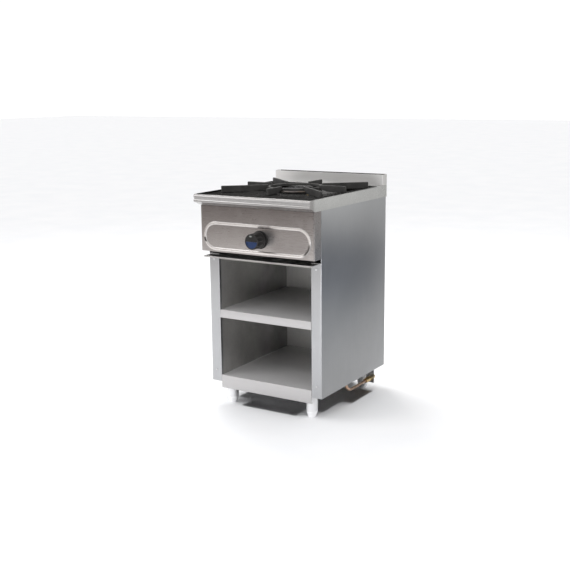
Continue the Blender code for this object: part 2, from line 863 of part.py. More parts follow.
def make_knob_bezel():
    turned(
        "knob_bezel",
        [
            (0.0300, 0.0030),
            (0.0335, 0.0022),
            (0.0345, 0.0),
            (0.0062, 0.0),
            (0.0062, 0.0030),
        ],
        on_knob_axis(GAP),
        "black_plastic",
        axis="-Y",
        closed=True,
        steps=40,
    )


def make_tap():
    """The tap body on the manifold, its spindle and push rod, and the flame failure magnet behind it."""
    front, back = on_knob_axis(-0.012), on_knob_axis(-0.062)
    body = cylinder("tap_body", 0.014, front, back, "brass", 24)
    waist = on_knob_axis(-(MANIFOLD_Y - PANEL_Y))
    foot = Vector((waist.x, waist.y, MANIFOLD_Z + MANIFOLD_RADIUS + GAP))
    outlet = Vector((waist.x, waist.y, TAP_OUTLET_Z))
    unite(body, cylinder("tap_foot", 0.008, foot, waist, sides=SMALL_STEPS))
    unite(body, cylinder("tap_outlet", 0.008, waist, outlet, sides=SMALL_STEPS))
    bore_end = on_knob_axis(-0.040)
    cut(body, cylinder("tap_bore", 0.0060, on_knob_axis(0), bore_end, sides=SMALL_STEPS))
    cylinder(
        "tap_spindle",
        SPINDLE_RADIUS,
        on_knob_axis(0.0335),
        on_knob_axis(-0.029),
        "steel",
        SMALL_STEPS,
    )
    cylinder("tap_push_rod", 0.0050, on_knob_axis(-0.0293), on_knob_axis(-0.0343), "steel", SMALL_STEPS)
    turned(
        "tap_magnet_unit",
        [
            (0.000, 0.0),
            (0.011, 0.0),
            (0.011, -0.010),
            (0.008, -0.012),
            (0.008, -0.030),
            (0.004, -0.033),
            (0.000, -0.033),
        ],
        back + Vector((0, GAP, 0)),
        "steel",
        axis="-Y",
        steps=SMALL_STEPS,
    )


def make_gas_line():
    """Manifold, burner feed, pilot feed, and the riser that runs down behind the right liner."""
    manifold_end = Vector((RISER_X, FRONT + 0.200, MANIFOLD_Z))
    pipe(
        "manifold",
        [(-0.060, MANIFOLD_Y, MANIFOLD_Z), (RISER_X, MANIFOLD_Y, MANIFOLD_Z), manifold_end],
        MANIFOLD_RADIUS,
        "galvanised",
        bend=0.030,
    )
    pipe(
        "burner_feed_pipe",
        [
            (KNOB_X, MANIFOLD_Y, TAP_OUTLET_Z + GAP),
            (KNOB_X, MANIFOLD_Y, BURNER_PIPE_Z - 0.010),
            (0.0, MANIFOLD_Y + 0.022, BURNER_PIPE_Z),
            (0.0, HOLDER_FRONT - GAP, BURNER_PIPE_Z),
        ],
        0.005,
        "copper",
        bend=0.010,
        steps=4,
    )
    pilot = ring_spot(PILOT_ANGLE)
    pipe(
        "pilot_feed_pipe",
        [
            (pilot.x, MANIFOLD_Y, MANIFOLD_Z + MANIFOLD_RADIUS + GAP),
            (pilot.x, MANIFOLD_Y, BURNER_PIPE_Z),
            (pilot.x, pilot.y, BURNER_PIPE_Z),
            (pilot.x, pilot.y, PILOT_BRACKET_Z - 0.0015 - GAP),
        ],
        0.002,
        "copper",
        bend=0.012,
        resolution=1,
        steps=4,
    )
    pipe(
        "riser_pipe",
        [
            manifold_end + Vector((0, GAP, 0)),
            (RISER_X, RISER_Y, MANIFOLD_Z),
            (RISER_X, RISER_Y, INLET_Z),
            (RISER_X, BRACKET_Y - FITTING_REACH - GAP, INLET_Z),
        ],
        PIPE_RADIUS,
        "copper",
        bend=0.050,
        steps=8,
    )


def hex_ring(name, outer, inner, start, end, kind):
    """A hexagon nut round a pipe."""
    nut = cylinder(name, outer, start, end, kind, 6)
    reach = (end - start).normalized() * CLEAR
    cut(nut, cylinder(name + "_bore", inner, start - reach, end + reach, sides=SMALL_STEPS))


def make_gas_inlet():
    """The bulkhead fitting on its bracket under the cabinet, with the nuts on either side."""
    def spot(y):
        return Vector((RISER_X, y, INLET_Z))

    fitting_front = BRACKET_Y - FITTING_REACH
    fitting_back = BRACKET_Y - GAP
    stub_end = BRACKET_Y + FITTING_REACH
    fitting = cylinder("inlet_fitting", 0.0115, spot(fitting_front), spot(fitting_back), "brass", 6)
    stub_ends = spot(fitting_back - 0.005), spot(stub_end)
    unite(fitting, cylinder("inlet_stub", 0.0080, *stub_ends, sides=SMALL_STEPS))
    port_ends = spot(stub_end - 0.025), spot(stub_end + CLEAR)
    cut(fitting, cylinder("inlet_port", 0.0055, *port_ends, sides=SMALL_STEPS))
    hex_ring(
        "inlet_pipe_nut",
        0.0105,
        PIPE_RADIUS + GAP,
        spot(fitting_front - 0.0160),
        spot(fitting_front - GAP),
        "brass",
    )
    plate = 0.0015
    locknut_ends = spot(BRACKET_Y + plate + GAP), spot(BRACKET_Y + 0.011)
    hex_ring("inlet_locknut", 0.0130, 0.0083, *locknut_ends, "chrome")
    top = BODY_BOTTOM + GAP
    path = [(BRACKET_Y, INLET_Z - 0.018), (BRACKET_Y, top), (BRACKET_Y + 0.026, top)]
    left, right = RISER_X - 0.019, RISER_X + 0.017
    bracket = folded_sheet("inlet_bracket", path, left, right, "X", "steel", side=1, thickness=plate)
    hole_ends = spot(BRACKET_Y - CLEAR), spot(BRACKET_Y + CLEAR)
    cut(bracket, cylinder("bracket_hole", 0.0090, *hole_ends, sides=SMALL_STEPS))


# Cabinet

def make_side_panel(name, side):
    """The outer skin, folded round the front into the post face and its return, and round the rear."""
    path = rounded(
        [
            (side * POST_INNER_X, POST_Y + 0.012),
            (side * POST_INNER_X, POST_Y),
            (side * BODY_HALF, POST_Y),
            (side * BODY_HALF, REAR_INNER_Y),
            (side * (BODY_HALF - 0.018), REAR_INNER_Y),
        ],
        0.0025,
    )
    top = DECK_UNDERSIDE - GAP
    panel = folded_sheet(name, path, BODY_BOTTOM, top, "Z", "stainless", side=-side)
    near, far = sorted((side * (POST_INNER_X - CLEAR), side * (BODY_HALF - 0.0026)))
    low, high = (near, POST_Y - CLEAR, POST_TOP), (far, POST_Y + 2 * CLEAR, top + CLEAR)
    cut(panel, box(name + "_front_cut", low, high))
    reach = Vector((0, CLEAR, 0))
    for z in POST_SCREWS:
        spot = Vector((side * SCREW_X, POST_Y, z))
        cut(panel, cylinder(f"{name}_hole_{z}", SCREW_HOLE, spot - reach, spot + reach, sides=12))


def make_post_screw(name, x, z):
    """A pan-head screw through the post face."""
    turned(
        name,
        [
            (0.0000, 0.0024),
            (0.0020, 0.0023),
            (0.0036, 0.0014),
            (0.0042, 0.0000),
            (0.0020, 0.0000),
            (0.0020, -0.0080),
            (0.0000, -0.0080),
        ],
        (x, POST_Y - GAP, z),
        "steel",
        axis="-Y",
        steps=SMALL_STEPS,
    )


def make_liners():
    """The inner walls of the compartments: two side sheets, the back, and the ceiling."""
    inner = POST_INNER_X + SHEET + GAP
    top = CEILING_Z - SHEET - GAP
    bottom = BOTTOM_SHELF_Z - 0.001
    for name, side in (("side_liner_left", -1), ("side_liner_right", 1)):
        near, far = sorted((side * inner, side * (inner + SHEET)))
        box(name, (near, POST_Y + 0.004, bottom), (far, LINER_BACK_Y - GAP, top), "stainless")
    half = inner + SHEET
    box("back_liner", (-half, LINER_BACK_Y, BODY_BOTTOM), (half, LINER_BACK_Y + SHEET, top), "stainless")
    between = POST_INNER_X - GAP
    box(
        "compartment_ceiling",
        (-between, POST_Y + 0.0015, CEILING_Z - SHEET),
        (between, LINER_BACK_Y + SHEET, CEILING_Z),
        "stainless",
    )


def make_rear_panel():
    """The outer back of the cabinet, with a row of upright slots that let air in behind the burner."""
    panel = box(
        "rear_panel",
        (-SIDE_INNER_X, BACK - SHEET, BODY_BOTTOM),
        (SIDE_INNER_X, BACK, WORKTOP_HEIGHT + BACKSPLASH_RISE),
        "stainless",
    )
    slots, spacing = 9, 0.032
    slot_half, slot_low, slot_high = 0.0035, 0.660, 0.740
    for index in range(slots):
        x = (index - (slots - 1) / 2) * spacing
        low, high = (x - slot_half, BACK - CLEAR, slot_low), (x + slot_half, BACK + CLEAR, slot_high)
        cut(panel, box(f"rear_slot_{index}", low, high))


def make_shelf(name, top, fold, rear_fold):
    """A shelf folded down at the front, with a short return, and folded down at the rear."""
    back_y = LINER_BACK_Y - GAP
    fold_return = 0.013
    path = rounded(
        [
            (POST_Y + fold_return, top - fold),
            (POST_Y, top - fold),
            (POST_Y, top),
            (back_y, top),
            (back_y, top - rear_fold),
        ],
        0.0022,
    )
    half = POST_INNER_X - GAP
    folded_sheet(name, path, -half, half, "X", "stainless", side=1)


def make_cross_rails():
    """Angles between the side panels under the worktop, and channels under the bottom shelf."""
    half = SIDE_INNER_X - GAP
    angle_height, angle_depth = 0.026, 0.024
    for name, y, top, sign in (
        ("front_cross_rail", FRONT + 0.062, LAND_Z - PLATE_THICKNESS - GAP, 1),
        ("rear_cross_rail", BACKSPLASH_Y - 0.004, DECK_UNDERSIDE - GAP, -1),
    ):
        path = [(y, top - angle_height), (y, top), (y + sign * angle_depth, top)]
        folded_sheet(name, path, -half, half, "X", "galvanised", side=sign)
    low = BODY_BOTTOM + 2 * GAP
    high = BOTTOM_SHELF_Z - SHEET - GAP
    for name, y in (("base_channel_front", LEG_FRONT_Y), ("base_channel_rear", LEG_REAR_Y)):
        path = [
            (y - CHANNEL_HALF, high),
            (y - CHANNEL_HALF, low),
            (y + CHANNEL_HALF, low),
            (y + CHANNEL_HALF, high),
        ]
        folded_sheet(name, path, -half, half, "X", "galvanised", side=-1, thickness=0.0015)


def make_drip_tray():
    """A shallow pan between the posts with a wide front lip that is its handle."""
    floor = CEILING_Z + GAP
    pan_front = POST_Y + 0.004
    lip_front = PANEL_Y - 0.003
    hem = 0.004
    bm = bmesh.new()
    bmesh.ops.create_cube(bm, size=1.0)
    size = Vector((2 * TRAY_HALF, TRAY_BACK_Y - pan_front, TRAY_TOP - floor))
    middle = Vector((0, (TRAY_BACK_Y + pan_front) / 2, (TRAY_TOP + floor) / 2))
    bmesh.ops.scale(bm, vec=size, verts=bm.verts)
    bmesh.ops.recalc_face_normals(bm, faces=bm.faces)
    bmesh.ops.delete(bm, geom=[face for face in bm.faces if face.normal.z > 0.9], context="FACES")
    mesh = bpy.data.meshes.new("drip_tray")
    bm.to_mesh(mesh)
    bm.free()
    tray = place("drip_tray", mesh, "stainless", middle)
    thicken(tray, SHEET)
    path = rounded(
        [(lip_front, TRAY_TOP - hem), (lip_front, TRAY_TOP), (POST_Y - 0.001, TRAY_TOP)],
        0.0015,
    )
    unite(tray, folded_sheet("tray_lip", path, -TRAY_LIP_HALF, TRAY_LIP_HALF, "X", side=1))
    bridge_low = (-TRAY_HALF, POST_Y - 0.003, TRAY_TOP - SHEET)
    unite(tray, box("tray_bridge", bridge_low, (TRAY_HALF, pan_front + SHEET, TRAY_TOP)))


def make_tray_guides():
    for name, side in (("tray_guide_left", -1), ("tray_guide_right", 1)):
        x = side * (TRAY_HALF + 0.0008)
        z = CEILING_Z + GAP
        path = [(x, z + 0.012), (x, z), (x + side * 0.0032, z)]
        folded_sheet(name, path, POST_Y + 0.014, TRAY_BACK_Y, "Y", "galvanised", side=side)


# Legs

def make_leg(name, x, y):
    """A tube with a closed top, under a base channel."""
    top = BODY_BOTTOM + GAP
    turned(
        name,
        [
            (0.0, top),
            (LEG_RADIUS, top),
            (LEG_RADIUS, LEG_BOTTOM),
            (LEG_RADIUS - LEG_WALL, LEG_BOTTOM),
            (LEG_RADIUS - LEG_WALL, top - LEG_WALL),
            (0.0, top - LEG_WALL),
        ],
        (x, y, 0),
        "stainless",
        steps=28,
    )


def make_foot(name, x, y):
    """The screw-in foot: a stem inside the leg tube and a tapered tip on the floor."""
    seat = LEG_BOTTOM - GAP
    stem = LEG_RADIUS - LEG_WALL - 0.001
    turned(
        name,
        [
            (0.0, FOOT_STEM_TOP),
            (stem, FOOT_STEM_TOP),
            (stem, seat),
            (LEG_RADIUS, seat),
            (LEG_RADIUS, 0.0225),
            (0.0155, 0.0030),
            (0.0140, 0.0),
            (0.0, 0.0),
        ],
        (x, y, 0),
        "steel",
        steps=28,
    )


def make_hob():
    make_worktop()
    make_backsplash()
    make_spill_plate()
    make_pan_support()
    make_burner_bowl()
    make_burner_head()
    make_burner_cap()
    make_mixing_tube()
    make_air_shutter()
    make_injector()
    make_burner_rail()
    make_pilot()


def make_controls():
    make_control_panel()
    make_knob()
    make_knob_bezel()
    make_tap()
    make_gas_line()
    make_gas_inlet()


def make_cabinet():
    make_side_panel("side_panel_left", -1)
    make_side_panel("side_panel_right", 1)
    make_liners()
    make_rear_panel()
    make_shelf("middle_shelf", MIDDLE_SHELF_Z, MIDDLE_SHELF_FOLD, 0.018)
    make_shelf("bottom_shelf", BOTTOM_SHELF_Z, KICK_DEPTH, 0.016)
    make_cross_rails()
    make_drip_tray()
    make_tray_guides()
    for side_name, side in (("left", -1), ("right", 1)):
        for height_name, z in zip(("upper", "lower"), POST_SCREWS):
            make_post_screw(f"post_screw_{side_name}_{height_name}", side * SCREW_X, z)
        for end_name, y in (("front", LEG_FRONT_Y), ("rear", LEG_REAR_Y)):
            make_leg(f"leg_{end_name}_{side_name}", side * LEG_X, y)
            make_foot(f"foot_{end_name}_{side_name}", side * LEG_X, y)


make_hob()
make_controls()
make_cabinet()
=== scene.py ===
"""Commercial gas range: looks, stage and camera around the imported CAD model. Metres, +Z up."""

import json
import math

import bmesh
import bpy
from mathutils import Matrix, Vector

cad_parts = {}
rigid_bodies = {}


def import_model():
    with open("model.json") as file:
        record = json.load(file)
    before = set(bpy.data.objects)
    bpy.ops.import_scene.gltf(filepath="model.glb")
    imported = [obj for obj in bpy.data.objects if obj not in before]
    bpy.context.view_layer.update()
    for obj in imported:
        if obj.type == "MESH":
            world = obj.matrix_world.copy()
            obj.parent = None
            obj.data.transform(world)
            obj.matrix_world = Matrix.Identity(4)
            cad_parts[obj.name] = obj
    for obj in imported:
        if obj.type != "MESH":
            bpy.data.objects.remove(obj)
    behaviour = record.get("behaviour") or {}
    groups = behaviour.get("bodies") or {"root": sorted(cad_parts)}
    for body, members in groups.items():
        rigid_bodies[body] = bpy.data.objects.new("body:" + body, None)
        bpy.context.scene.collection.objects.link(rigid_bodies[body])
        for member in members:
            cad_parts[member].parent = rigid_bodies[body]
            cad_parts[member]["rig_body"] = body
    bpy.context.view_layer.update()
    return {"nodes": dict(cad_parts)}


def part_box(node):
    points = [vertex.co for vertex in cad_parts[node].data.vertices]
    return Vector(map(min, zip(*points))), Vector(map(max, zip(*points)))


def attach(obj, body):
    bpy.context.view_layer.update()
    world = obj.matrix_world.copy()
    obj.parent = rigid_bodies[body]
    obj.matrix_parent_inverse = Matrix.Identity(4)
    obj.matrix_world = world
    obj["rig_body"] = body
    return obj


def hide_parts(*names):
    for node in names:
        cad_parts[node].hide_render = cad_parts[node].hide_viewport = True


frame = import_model()
nodes = frame["nodes"]

# ---------------------------------------------------------------- camera

CAMERA_PLACE = Vector((1.90981, -3.15195, 1.23381))
CAMERA_AZIMUTH = math.radians(31.7)
CAMERA_DOWN = math.radians(11.8)
CAMERA_ROLL = math.radians(-0.6)
CAMERA_LENS = 59.99
CAMERA_SENSOR = 36.0
CAMERA_REACH = 200.0


def make_camera():
    forward = Vector((
        -math.sin(CAMERA_AZIMUTH) * math.cos(CAMERA_DOWN),
        math.cos(CAMERA_AZIMUTH) * math.cos(CAMERA_DOWN),
        -math.sin(CAMERA_DOWN),
    ))
    level = Vector((math.cos(CAMERA_AZIMUTH), math.sin(CAMERA_AZIMUTH), 0.0))
    upright = level.cross(forward)
    right = level * math.cos(CAMERA_ROLL) + upright * math.sin(CAMERA_ROLL)
    up = upright * math.cos(CAMERA_ROLL) - level * math.sin(CAMERA_ROLL)
    lens = bpy.data.cameras.new("camera")
    lens.lens = CAMERA_LENS
    lens.sensor_width = CAMERA_SENSOR
    lens.clip_end = CAMERA_REACH
    camera = bpy.data.objects.new("camera", lens)
    bpy.context.scene.collection.objects.link(camera)
    turn = Matrix((right, up, -forward)).transposed().to_4x4()
    camera.matrix_world = Matrix.Translation(CAMERA_PLACE) @ turn
    bpy.context.scene.camera = camera


# ---------------------------------------------------------------- node helpers

EVEN = (1.0, 1.0, 1.0)
ORIGIN = (0.0, 0.0, 0.0)

# The usual roughness of a noise.
PLAIN = 0.55

# Each kind of mark on a surface: features per metre, detail, roughness of the noise, and a shift
# that keeps the marks of one material from lining up.
MARKS = {
    # Brushed sheet.
    "grain": (2600.0, 2.0, PLAIN, ORIGIN),
    "streaks": (260.0, 3.0, PLAIN, ORIGIN),
    "clouds": (6.0, 4.0, PLAIN, (3.1, 0.4, 1.7)),
    "prints": (26.0, 5.0, 0.65, (0.3, 2.2, 0.9)),
    "waves": (4.0, 1.0, PLAIN, (1.0, 5.0, 2.0)),
    # Unbrushed inner sheet.
    "mottle": (240.0, 4.0, PLAIN, ORIGIN),
    "rolling": (130.0, 2.0, PLAIN, ORIGIN),
    "stains": (9.0, 6.0, 0.6, (7.0, 1.0, 3.0)),
    "buckles": (5.0, 1.0, PLAIN, (2.0, 2.0, 2.0)),
    # Galvanised sheet.
    "bloom": (30.0, 6.0, 0.65, ORIGIN),
    # Enamel.
    "sparse": (160.0, 2.0, PLAIN, (5.0, 0.0, 1.0)),
    "haze": (11.0, 6.0, 0.62, (0.0, 3.0, 0.0)),
    "baked_dust": (75.0, 5.0, 0.7, (1.0, 1.0, 4.0)),
    "orange_peel": (210.0, 2.0, PLAIN, ORIGIN),
    # Cast iron.
    "sand": (900.0, 5.0, 0.7, ORIGIN),
    "lumps": (130.0, 4.0, 0.6, (1.0, 2.0, 3.0)),
    "soot": (22.0, 5.0, 0.6, (4.0, 2.0, 0.0)),
    # Turned or drawn metal.
    "tool_marks": (1500.0, 2.0, PLAIN, ORIGIN),
    "patches": (70.0, 5.0, 0.62, (2.0, 7.0, 1.0)),
    "film": (18.0, 3.0, PLAIN, (1.0, 0.0, 6.0)),
    # Burner alloy.
    "scale": (120.0, 6.0, 0.66, (0.0, 1.0, 2.0)),
    "heat_drift": (24.0, 3.0, PLAIN, (2.0, 3.0, 1.0)),
    # Moulded plastic.
    "spark": (1700.0, 3.0, 0.6, ORIGIN),
    "handling": (55.0, 4.0, 0.6, (6.0, 1.0, 1.0)),
    "fine_dust": (140.0, 5.0, 0.7, (2.0, 2.0, 8.0)),
    # Stage.
    "weave": (9.0, 3.0, PLAIN, ORIGIN),
    "floor_tone": (3.0, 4.0, PLAIN, ORIGIN),
}

# How deep a mark is, in metres, and how strongly its bump shows.
DEPTHS = {
    "grain": (0.00002, 0.5),
    "mottle": (0.00004, 0.5),
    "buckles": (0.0012, 1.0),
    "bloom": (0.00008, 0.5),
    "orange_peel": (0.00005, 0.6),
    "sand": (0.00014, 0.7),
    "lumps": (0.00045, 0.6),
    "pits": (0.00012, 0.4),
    "tool_marks": (0.00002, 0.5),
    "patches": (0.00005, 0.4),
    "scale": (0.00012, 0.6),
    "spark": (0.00004, 0.6),
}

# Cells per metre: zinc crystals, specks in enamel, pits in cast iron.
SPANGLE_CELLS = 85.0
SPECK_CELLS = 420.0
PIT_CELLS = 300.0


def new_material(name):
    """An empty Principled material: (material, its tree, its shader)."""
    material = bpy.data.materials.new(name)
    material.use_nodes = True
    tree = material.node_tree
    return material, tree, tree.nodes["Principled BSDF"]


def set_shader(shader, **values):
    """Sets constants on the shader's own sockets: Specular_IOR_Level=0.5 and so on."""
    for name, value in values.items():
        shader.inputs[name.replace("_", " ")].default_value = value


def place(tree, stretch=EVEN, shift=ORIGIN):
    """The object's own coordinates, in metres, stretched and shifted."""
    coords = tree.nodes.new("ShaderNodeTexCoord")
    mapping = tree.nodes.new("ShaderNodeMapping")
    mapping.inputs["Scale"].default_value = stretch
    mapping.inputs["Location"].default_value = shift
    tree.links.new(coords.outputs["Object"], mapping.inputs["Vector"])
    return mapping.outputs["Vector"]


def parts_of(tree, vector):
    """A vector's numbers one by one, as outputs X, Y and Z."""
    split = tree.nodes.new("ShaderNodeSeparateXYZ")
    tree.links.new(vector, split.inputs["Vector"])
    return split.outputs


def mark(tree, kind, stretch=EVEN):
    """The noise of one kind of mark, from 0 to 1."""
    scale, detail, roughness, shift = MARKS[kind]
    texture = tree.nodes.new("ShaderNodeTexNoise")
    texture.inputs["Scale"].default_value = scale
    texture.inputs["Detail"].default_value = detail
    texture.inputs["Roughness"].default_value = roughness
    tree.links.new(place(tree, stretch, shift), texture.inputs["Vector"])
    return texture.outputs["Fac"]


def cells(tree, scale, output, shift=ORIGIN):
    """A Voronoi pattern's colour, or its distance from the middle of each cell."""
    texture = tree.nodes.new("ShaderNodeTexVoronoi")
    texture.inputs["Scale"].default_value = scale
    tree.links.new(place(tree, shift=shift), texture.inputs["Vector"])
    return texture.outputs[output]


def remap(tree, value, source, target=(0.0, 1.0)):
    """A value between the two source numbers, carried to the two target numbers, and clamped."""
    node = tree.nodes.new("ShaderNodeMapRange")
    node.inputs["From Min"].default_value = source[0]
    node.inputs["From Max"].default_value = source[1]
    node.inputs["To Min"].default_value = target[0]
    node.inputs["To Max"].default_value = target[1]
    tree.links.new(value, node.inputs["Value"])
    return node.outputs["Result"]


def maths(tree, operation, first, second=0.0):
    node = tree.nodes.new("ShaderNodeMath")
    node.operation = operation
    for socket, value in zip(node.inputs, (first, second)):
        if isinstance(value, (int, float)):
            socket.default_value = value
        else:
            tree.links.new(value, socket)
    return node.outputs["Value"]


def tinted(colour, share):
    return (colour[0] * share, colour[1] * share, colour[2] * share, 1.0)


def toned(colour, tone):
    """A colour multiplied by another."""
    return tuple(channel * share for channel, share in zip(colour, tone))


# The sockets of a Mix node that mixes colours, which share their names with its other sockets.
MIX_FACTOR, MIX_FIRST, MIX_SECOND, MIX_RESULT = 0, 6, 7, 2


def colour_mix(tree, factor, first, second):
    """A mix of two colours, each a tuple or another mix."""
    node = tree.nodes.new("ShaderNodeMix")
    node.data_type = "RGBA"
    tree.links.new(factor, node.inputs[MIX_FACTOR])
    for number, value in ((MIX_FIRST, first), (MIX_SECOND, second)):
        socket = node.inputs[number]
        if isinstance(value, tuple):
            socket.default_value = value if len(value) == 4 else (*value, 1.0)
        else:
            tree.links.new(value, socket)
    return node.outputs[MIX_RESULT]


def relief(tree, shader, height, distance, strength=1.0):
    """Bump from a height, added to any bump that the shader already has."""
    node = tree.nodes.new("ShaderNodeBump")
    node.inputs["Strength"].default_value = strength
    node.inputs["Distance"].default_value = distance
    tree.links.new(height, node.inputs["Height"])
    normal = shader.inputs["Normal"]
    if normal.is_linked:
        tree.links.new(normal.links[0].from_socket, node.inputs["Normal"])
    tree.links.new(node.outputs["Normal"], normal)


BEVEL_SAMPLES = 4
EDGE_SHARPNESS = 0.25


def edges(tree, radius):
    """0 on open faces, up to 1 along edges, where handling rubs the surface."""
    bevel = tree.nodes.new("ShaderNodeBevel")
    bevel.samples = BEVEL_SAMPLES
    bevel.inputs["Radius"].default_value = radius
    geometry = tree.nodes.new("ShaderNodeNewGeometry")
    dot = tree.nodes.new("ShaderNodeVectorMath")
    dot.operation = "DOT_PRODUCT"
    tree.links.new(bevel.outputs["Normal"], dot.inputs[0])
    tree.links.new(geometry.outputs["Normal"], dot.inputs[1])
    return remap(tree, dot.outputs["Value"], (1.0, 1.0 - EDGE_SHARPNESS))


def box_mask(tree, centre, half, soft):
    """1 within a box about a place on the object, fading to 0 over a soft border."""
    spot = parts_of(tree, place(tree))
    mask = None
    for axis, middle, reach in zip("XYZ", centre, half):
        away = maths(tree, "ABSOLUTE", maths(tree, "SUBTRACT", spot[axis], middle))
        within = remap(tree, away, (reach + soft, reach - soft))
        mask = within if mask is None else maths(tree, "MULTIPLY", mask, within)
    return mask


def wire(tree, shader, base, first_rough, second_rough):
    """Links a colour, and a roughness that is the sum of two."""
    tree.links.new(base, shader.inputs["Base Color"])
    tree.links.new(maths(tree, "ADD", first_rough, second_rough), shader.inputs["Roughness"])


# ---------------------------------------------------------------- places on the range

knob_low, knob_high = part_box("knob")
panel_low, panel_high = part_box("control_panel")
shelf_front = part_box("bottom_shelf")[0].y
nose_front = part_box("worktop")[0].y

KNOB_X = (knob_low.x + knob_high.x) / 2
KNOB_HEIGHT = (knob_low.z + knob_high.z) / 2

# The racetrack bead of the control panel: how far it stands out, half the length of its
# straights, the radius of its ends, half its width, and the share of that which is fully bright.
BEAD_RISE = 0.0023
BEAD_STRAIGHT = 0.1815
BEAD_TURN = 0.0495
BEAD_HALF_WIDTH = 0.0065
BEAD_CORE = 0.2
PANEL_FACE = panel_low.y + BEAD_RISE

# Boxes on the control panel: centre, half size, soft border.
# A painted reflection of the knob: a black bar across the bead above it.
KNOB_REFLECTION_BAR = ((KNOB_X + 0.005, PANEL_FACE, KNOB_HEIGHT + 0.0445), (0.0130, 0.010, 0.0020), 0.0012)
# Where the knob's painted reflection takes away the bead's polish and painted highlight.
KNOB_REFLECTION_PATCH = ((KNOB_X + 0.022, PANEL_FACE, KNOB_HEIGHT + 0.050), (0.0250, 0.020, 0.0100), 0.006)
# A darker patch on the panel to the right of the knob.
PANEL_DARK_PATCH = ((0.1500, PANEL_FACE, KNOB_HEIGHT - 0.028), (0.0800, 0.020, 0.0300), 0.025)
# Painted shade on the bead's lower right turn.
BEAD_SHADE_LOWER_RIGHT = ((BEAD_STRAIGHT + 0.039, PANEL_FACE, KNOB_HEIGHT - 0.027),
                    (0.0150, 0.020, 0.0240), 0.006)
# A painted dark reflection on the bead's left end.
BEAD_REFLECTION_LEFT_END = ((-BEAD_STRAIGHT - 0.0485, PANEL_FACE, KNOB_HEIGHT - 0.015),
                 (0.0120, 0.020, 0.0085), 0.002)

# How fully the knob's painted reflection, where it takes the bead's brightness away, and the darker
# patch cover what is under them.
KNOB_REFLECTION_COVER = 0.85
PANEL_DARK_SHARE = 0.5

# A painted highlight on the knob's face: centre, half height, how much wider it is than high, and the
# share of its size at which its edge starts to fade.
KNOB_PAINTED_GLINT = ((KNOB_X - 0.003, knob_low.y, KNOB_HEIGHT + 0.020), 0.0030, 2.0)
GLINT_EDGE = 0.9

# ---------------------------------------------------------------- colours

# The steel tints differ from panel to panel as painted light and shade, after how light falls on each
# panel: the side panels darkest, the leg tubes lightest.
SHEET = (0.60, 0.59, 0.58)
TUBE_SHEET = (0.86, 0.86, 0.87)
TOP_SHEET = (0.545, 0.545, 0.535)
SPLASH_SHEET = (0.675, 0.665, 0.655)
SHELF_SHEET = (0.68, 0.67, 0.67)
SIDE_SHEET = (0.46, 0.465, 0.475)
FASCIA_SHEET = (0.55, 0.525, 0.515)
# A darker tone of the control panel, for its painted shade under the nose and for the darker patch.
FASCIA_DARK_TONE = (0.22, 0.20, 0.195)
INNER_SHEET = (0.60, 0.59, 0.575)
BACK_SHEET = (0.56, 0.55, 0.535)
ZINC = (0.50, 0.51, 0.53)
# The bead's colour: its polish, brighter than the sheet, with a painted highlight.
BEAD_POLISH_AND_HIGHLIGHT = (0.80, 0.77, 0.75)
# Colours of the painted shade and the painted dark reflection on the bead.
BEAD_SHADE_TONE = (0.095, 0.088, 0.084)
BEAD_REFLECTION_TONE = (0.018, 0.016, 0.015)
# Colour of the knob's painted reflection on the bead.
KNOB_REFLECTION_BLACK = (0.012, 0.011, 0.011)
# Colour of the painted highlight on the knob's face.
GLINT_PALE = (0.17, 0.178, 0.17)
ENAMEL_SPECK = (0.08, 0.08, 0.085)
ENAMEL_WORN = (0.10, 0.10, 0.105)
IRON_RUBBED = (0.22, 0.215, 0.21)
PLASTIC_DUST = (0.30, 0.30, 0.30)
STRAW_TONE = (0.92, 0.78, 0.62)
BLUED_TONE = (0.60, 0.66, 0.86)

# Painted shade bands: the axis, where it starts, where it is full, how far its edge drifts, its colour.
# Painted shade on the worktop's front nose, darker than its steel.
NOSE_PAINTED_SHADE = ("Y", nose_front + 0.037, nose_front + 0.019, 0.002, (0.34, 0.33, 0.325))
# Painted shade on the front edges of the shelves.
SHELF_FRONT_PAINTED_SHADE = ("Y", shelf_front + 0.004, shelf_front + 0.002, 0.0, (0.47, 0.46, 0.46))
# Painted shade: the control panel darkens towards its top, under the worktop's nose.
FASCIA_SHADE_UNDER_NOSE = ("Z", panel_low.z + 0.018, panel_high.z + 0.0125, 0.012, FASCIA_DARK_TONE)

# Painted shade towards the rear of the compartments: where it starts, where it is full, and the share of
# the colour that it leaves.
SHELF_REAR_SHADE = (-0.04, 0.22, 0.42)
INNER_REAR_SHADE = (-0.16, 0.24, 0.22)
REAR_SHADE_DRIFT = 0.03

# ---------------------------------------------------------------- materials

# How much grain, streaks and rolling marks are drawn out along their axis.
GRAIN_SQUEEZE = 0.006
STREAK_SQUEEZE = 0.015
ROLLING_SQUEEZE = 0.04

# How much darker a smudge is.
SMUDGE = 0.08

# The bands of a noise that are carried to the whole of a mix or a roughness.
MIDDLE_BAND = (0.35, 0.65)
WIDE_BAND = (0.3, 0.7)

# How far in from an edge it is worn.
ENAMEL_WEAR = 0.0015
IRON_WEAR = 0.0016
METAL_WEAR = 0.0008
PLASTIC_WEAR = 0.0009

# Faces of the rear panel that look this far forward are its inside, which gets painted shade.
FACES_FORWARD = -0.5


def along_axis(axis, squeeze):
    """A stretch that draws marks out along one axis."""
    return tuple(squeeze if name == axis else 1.0 for name in "XYZ")


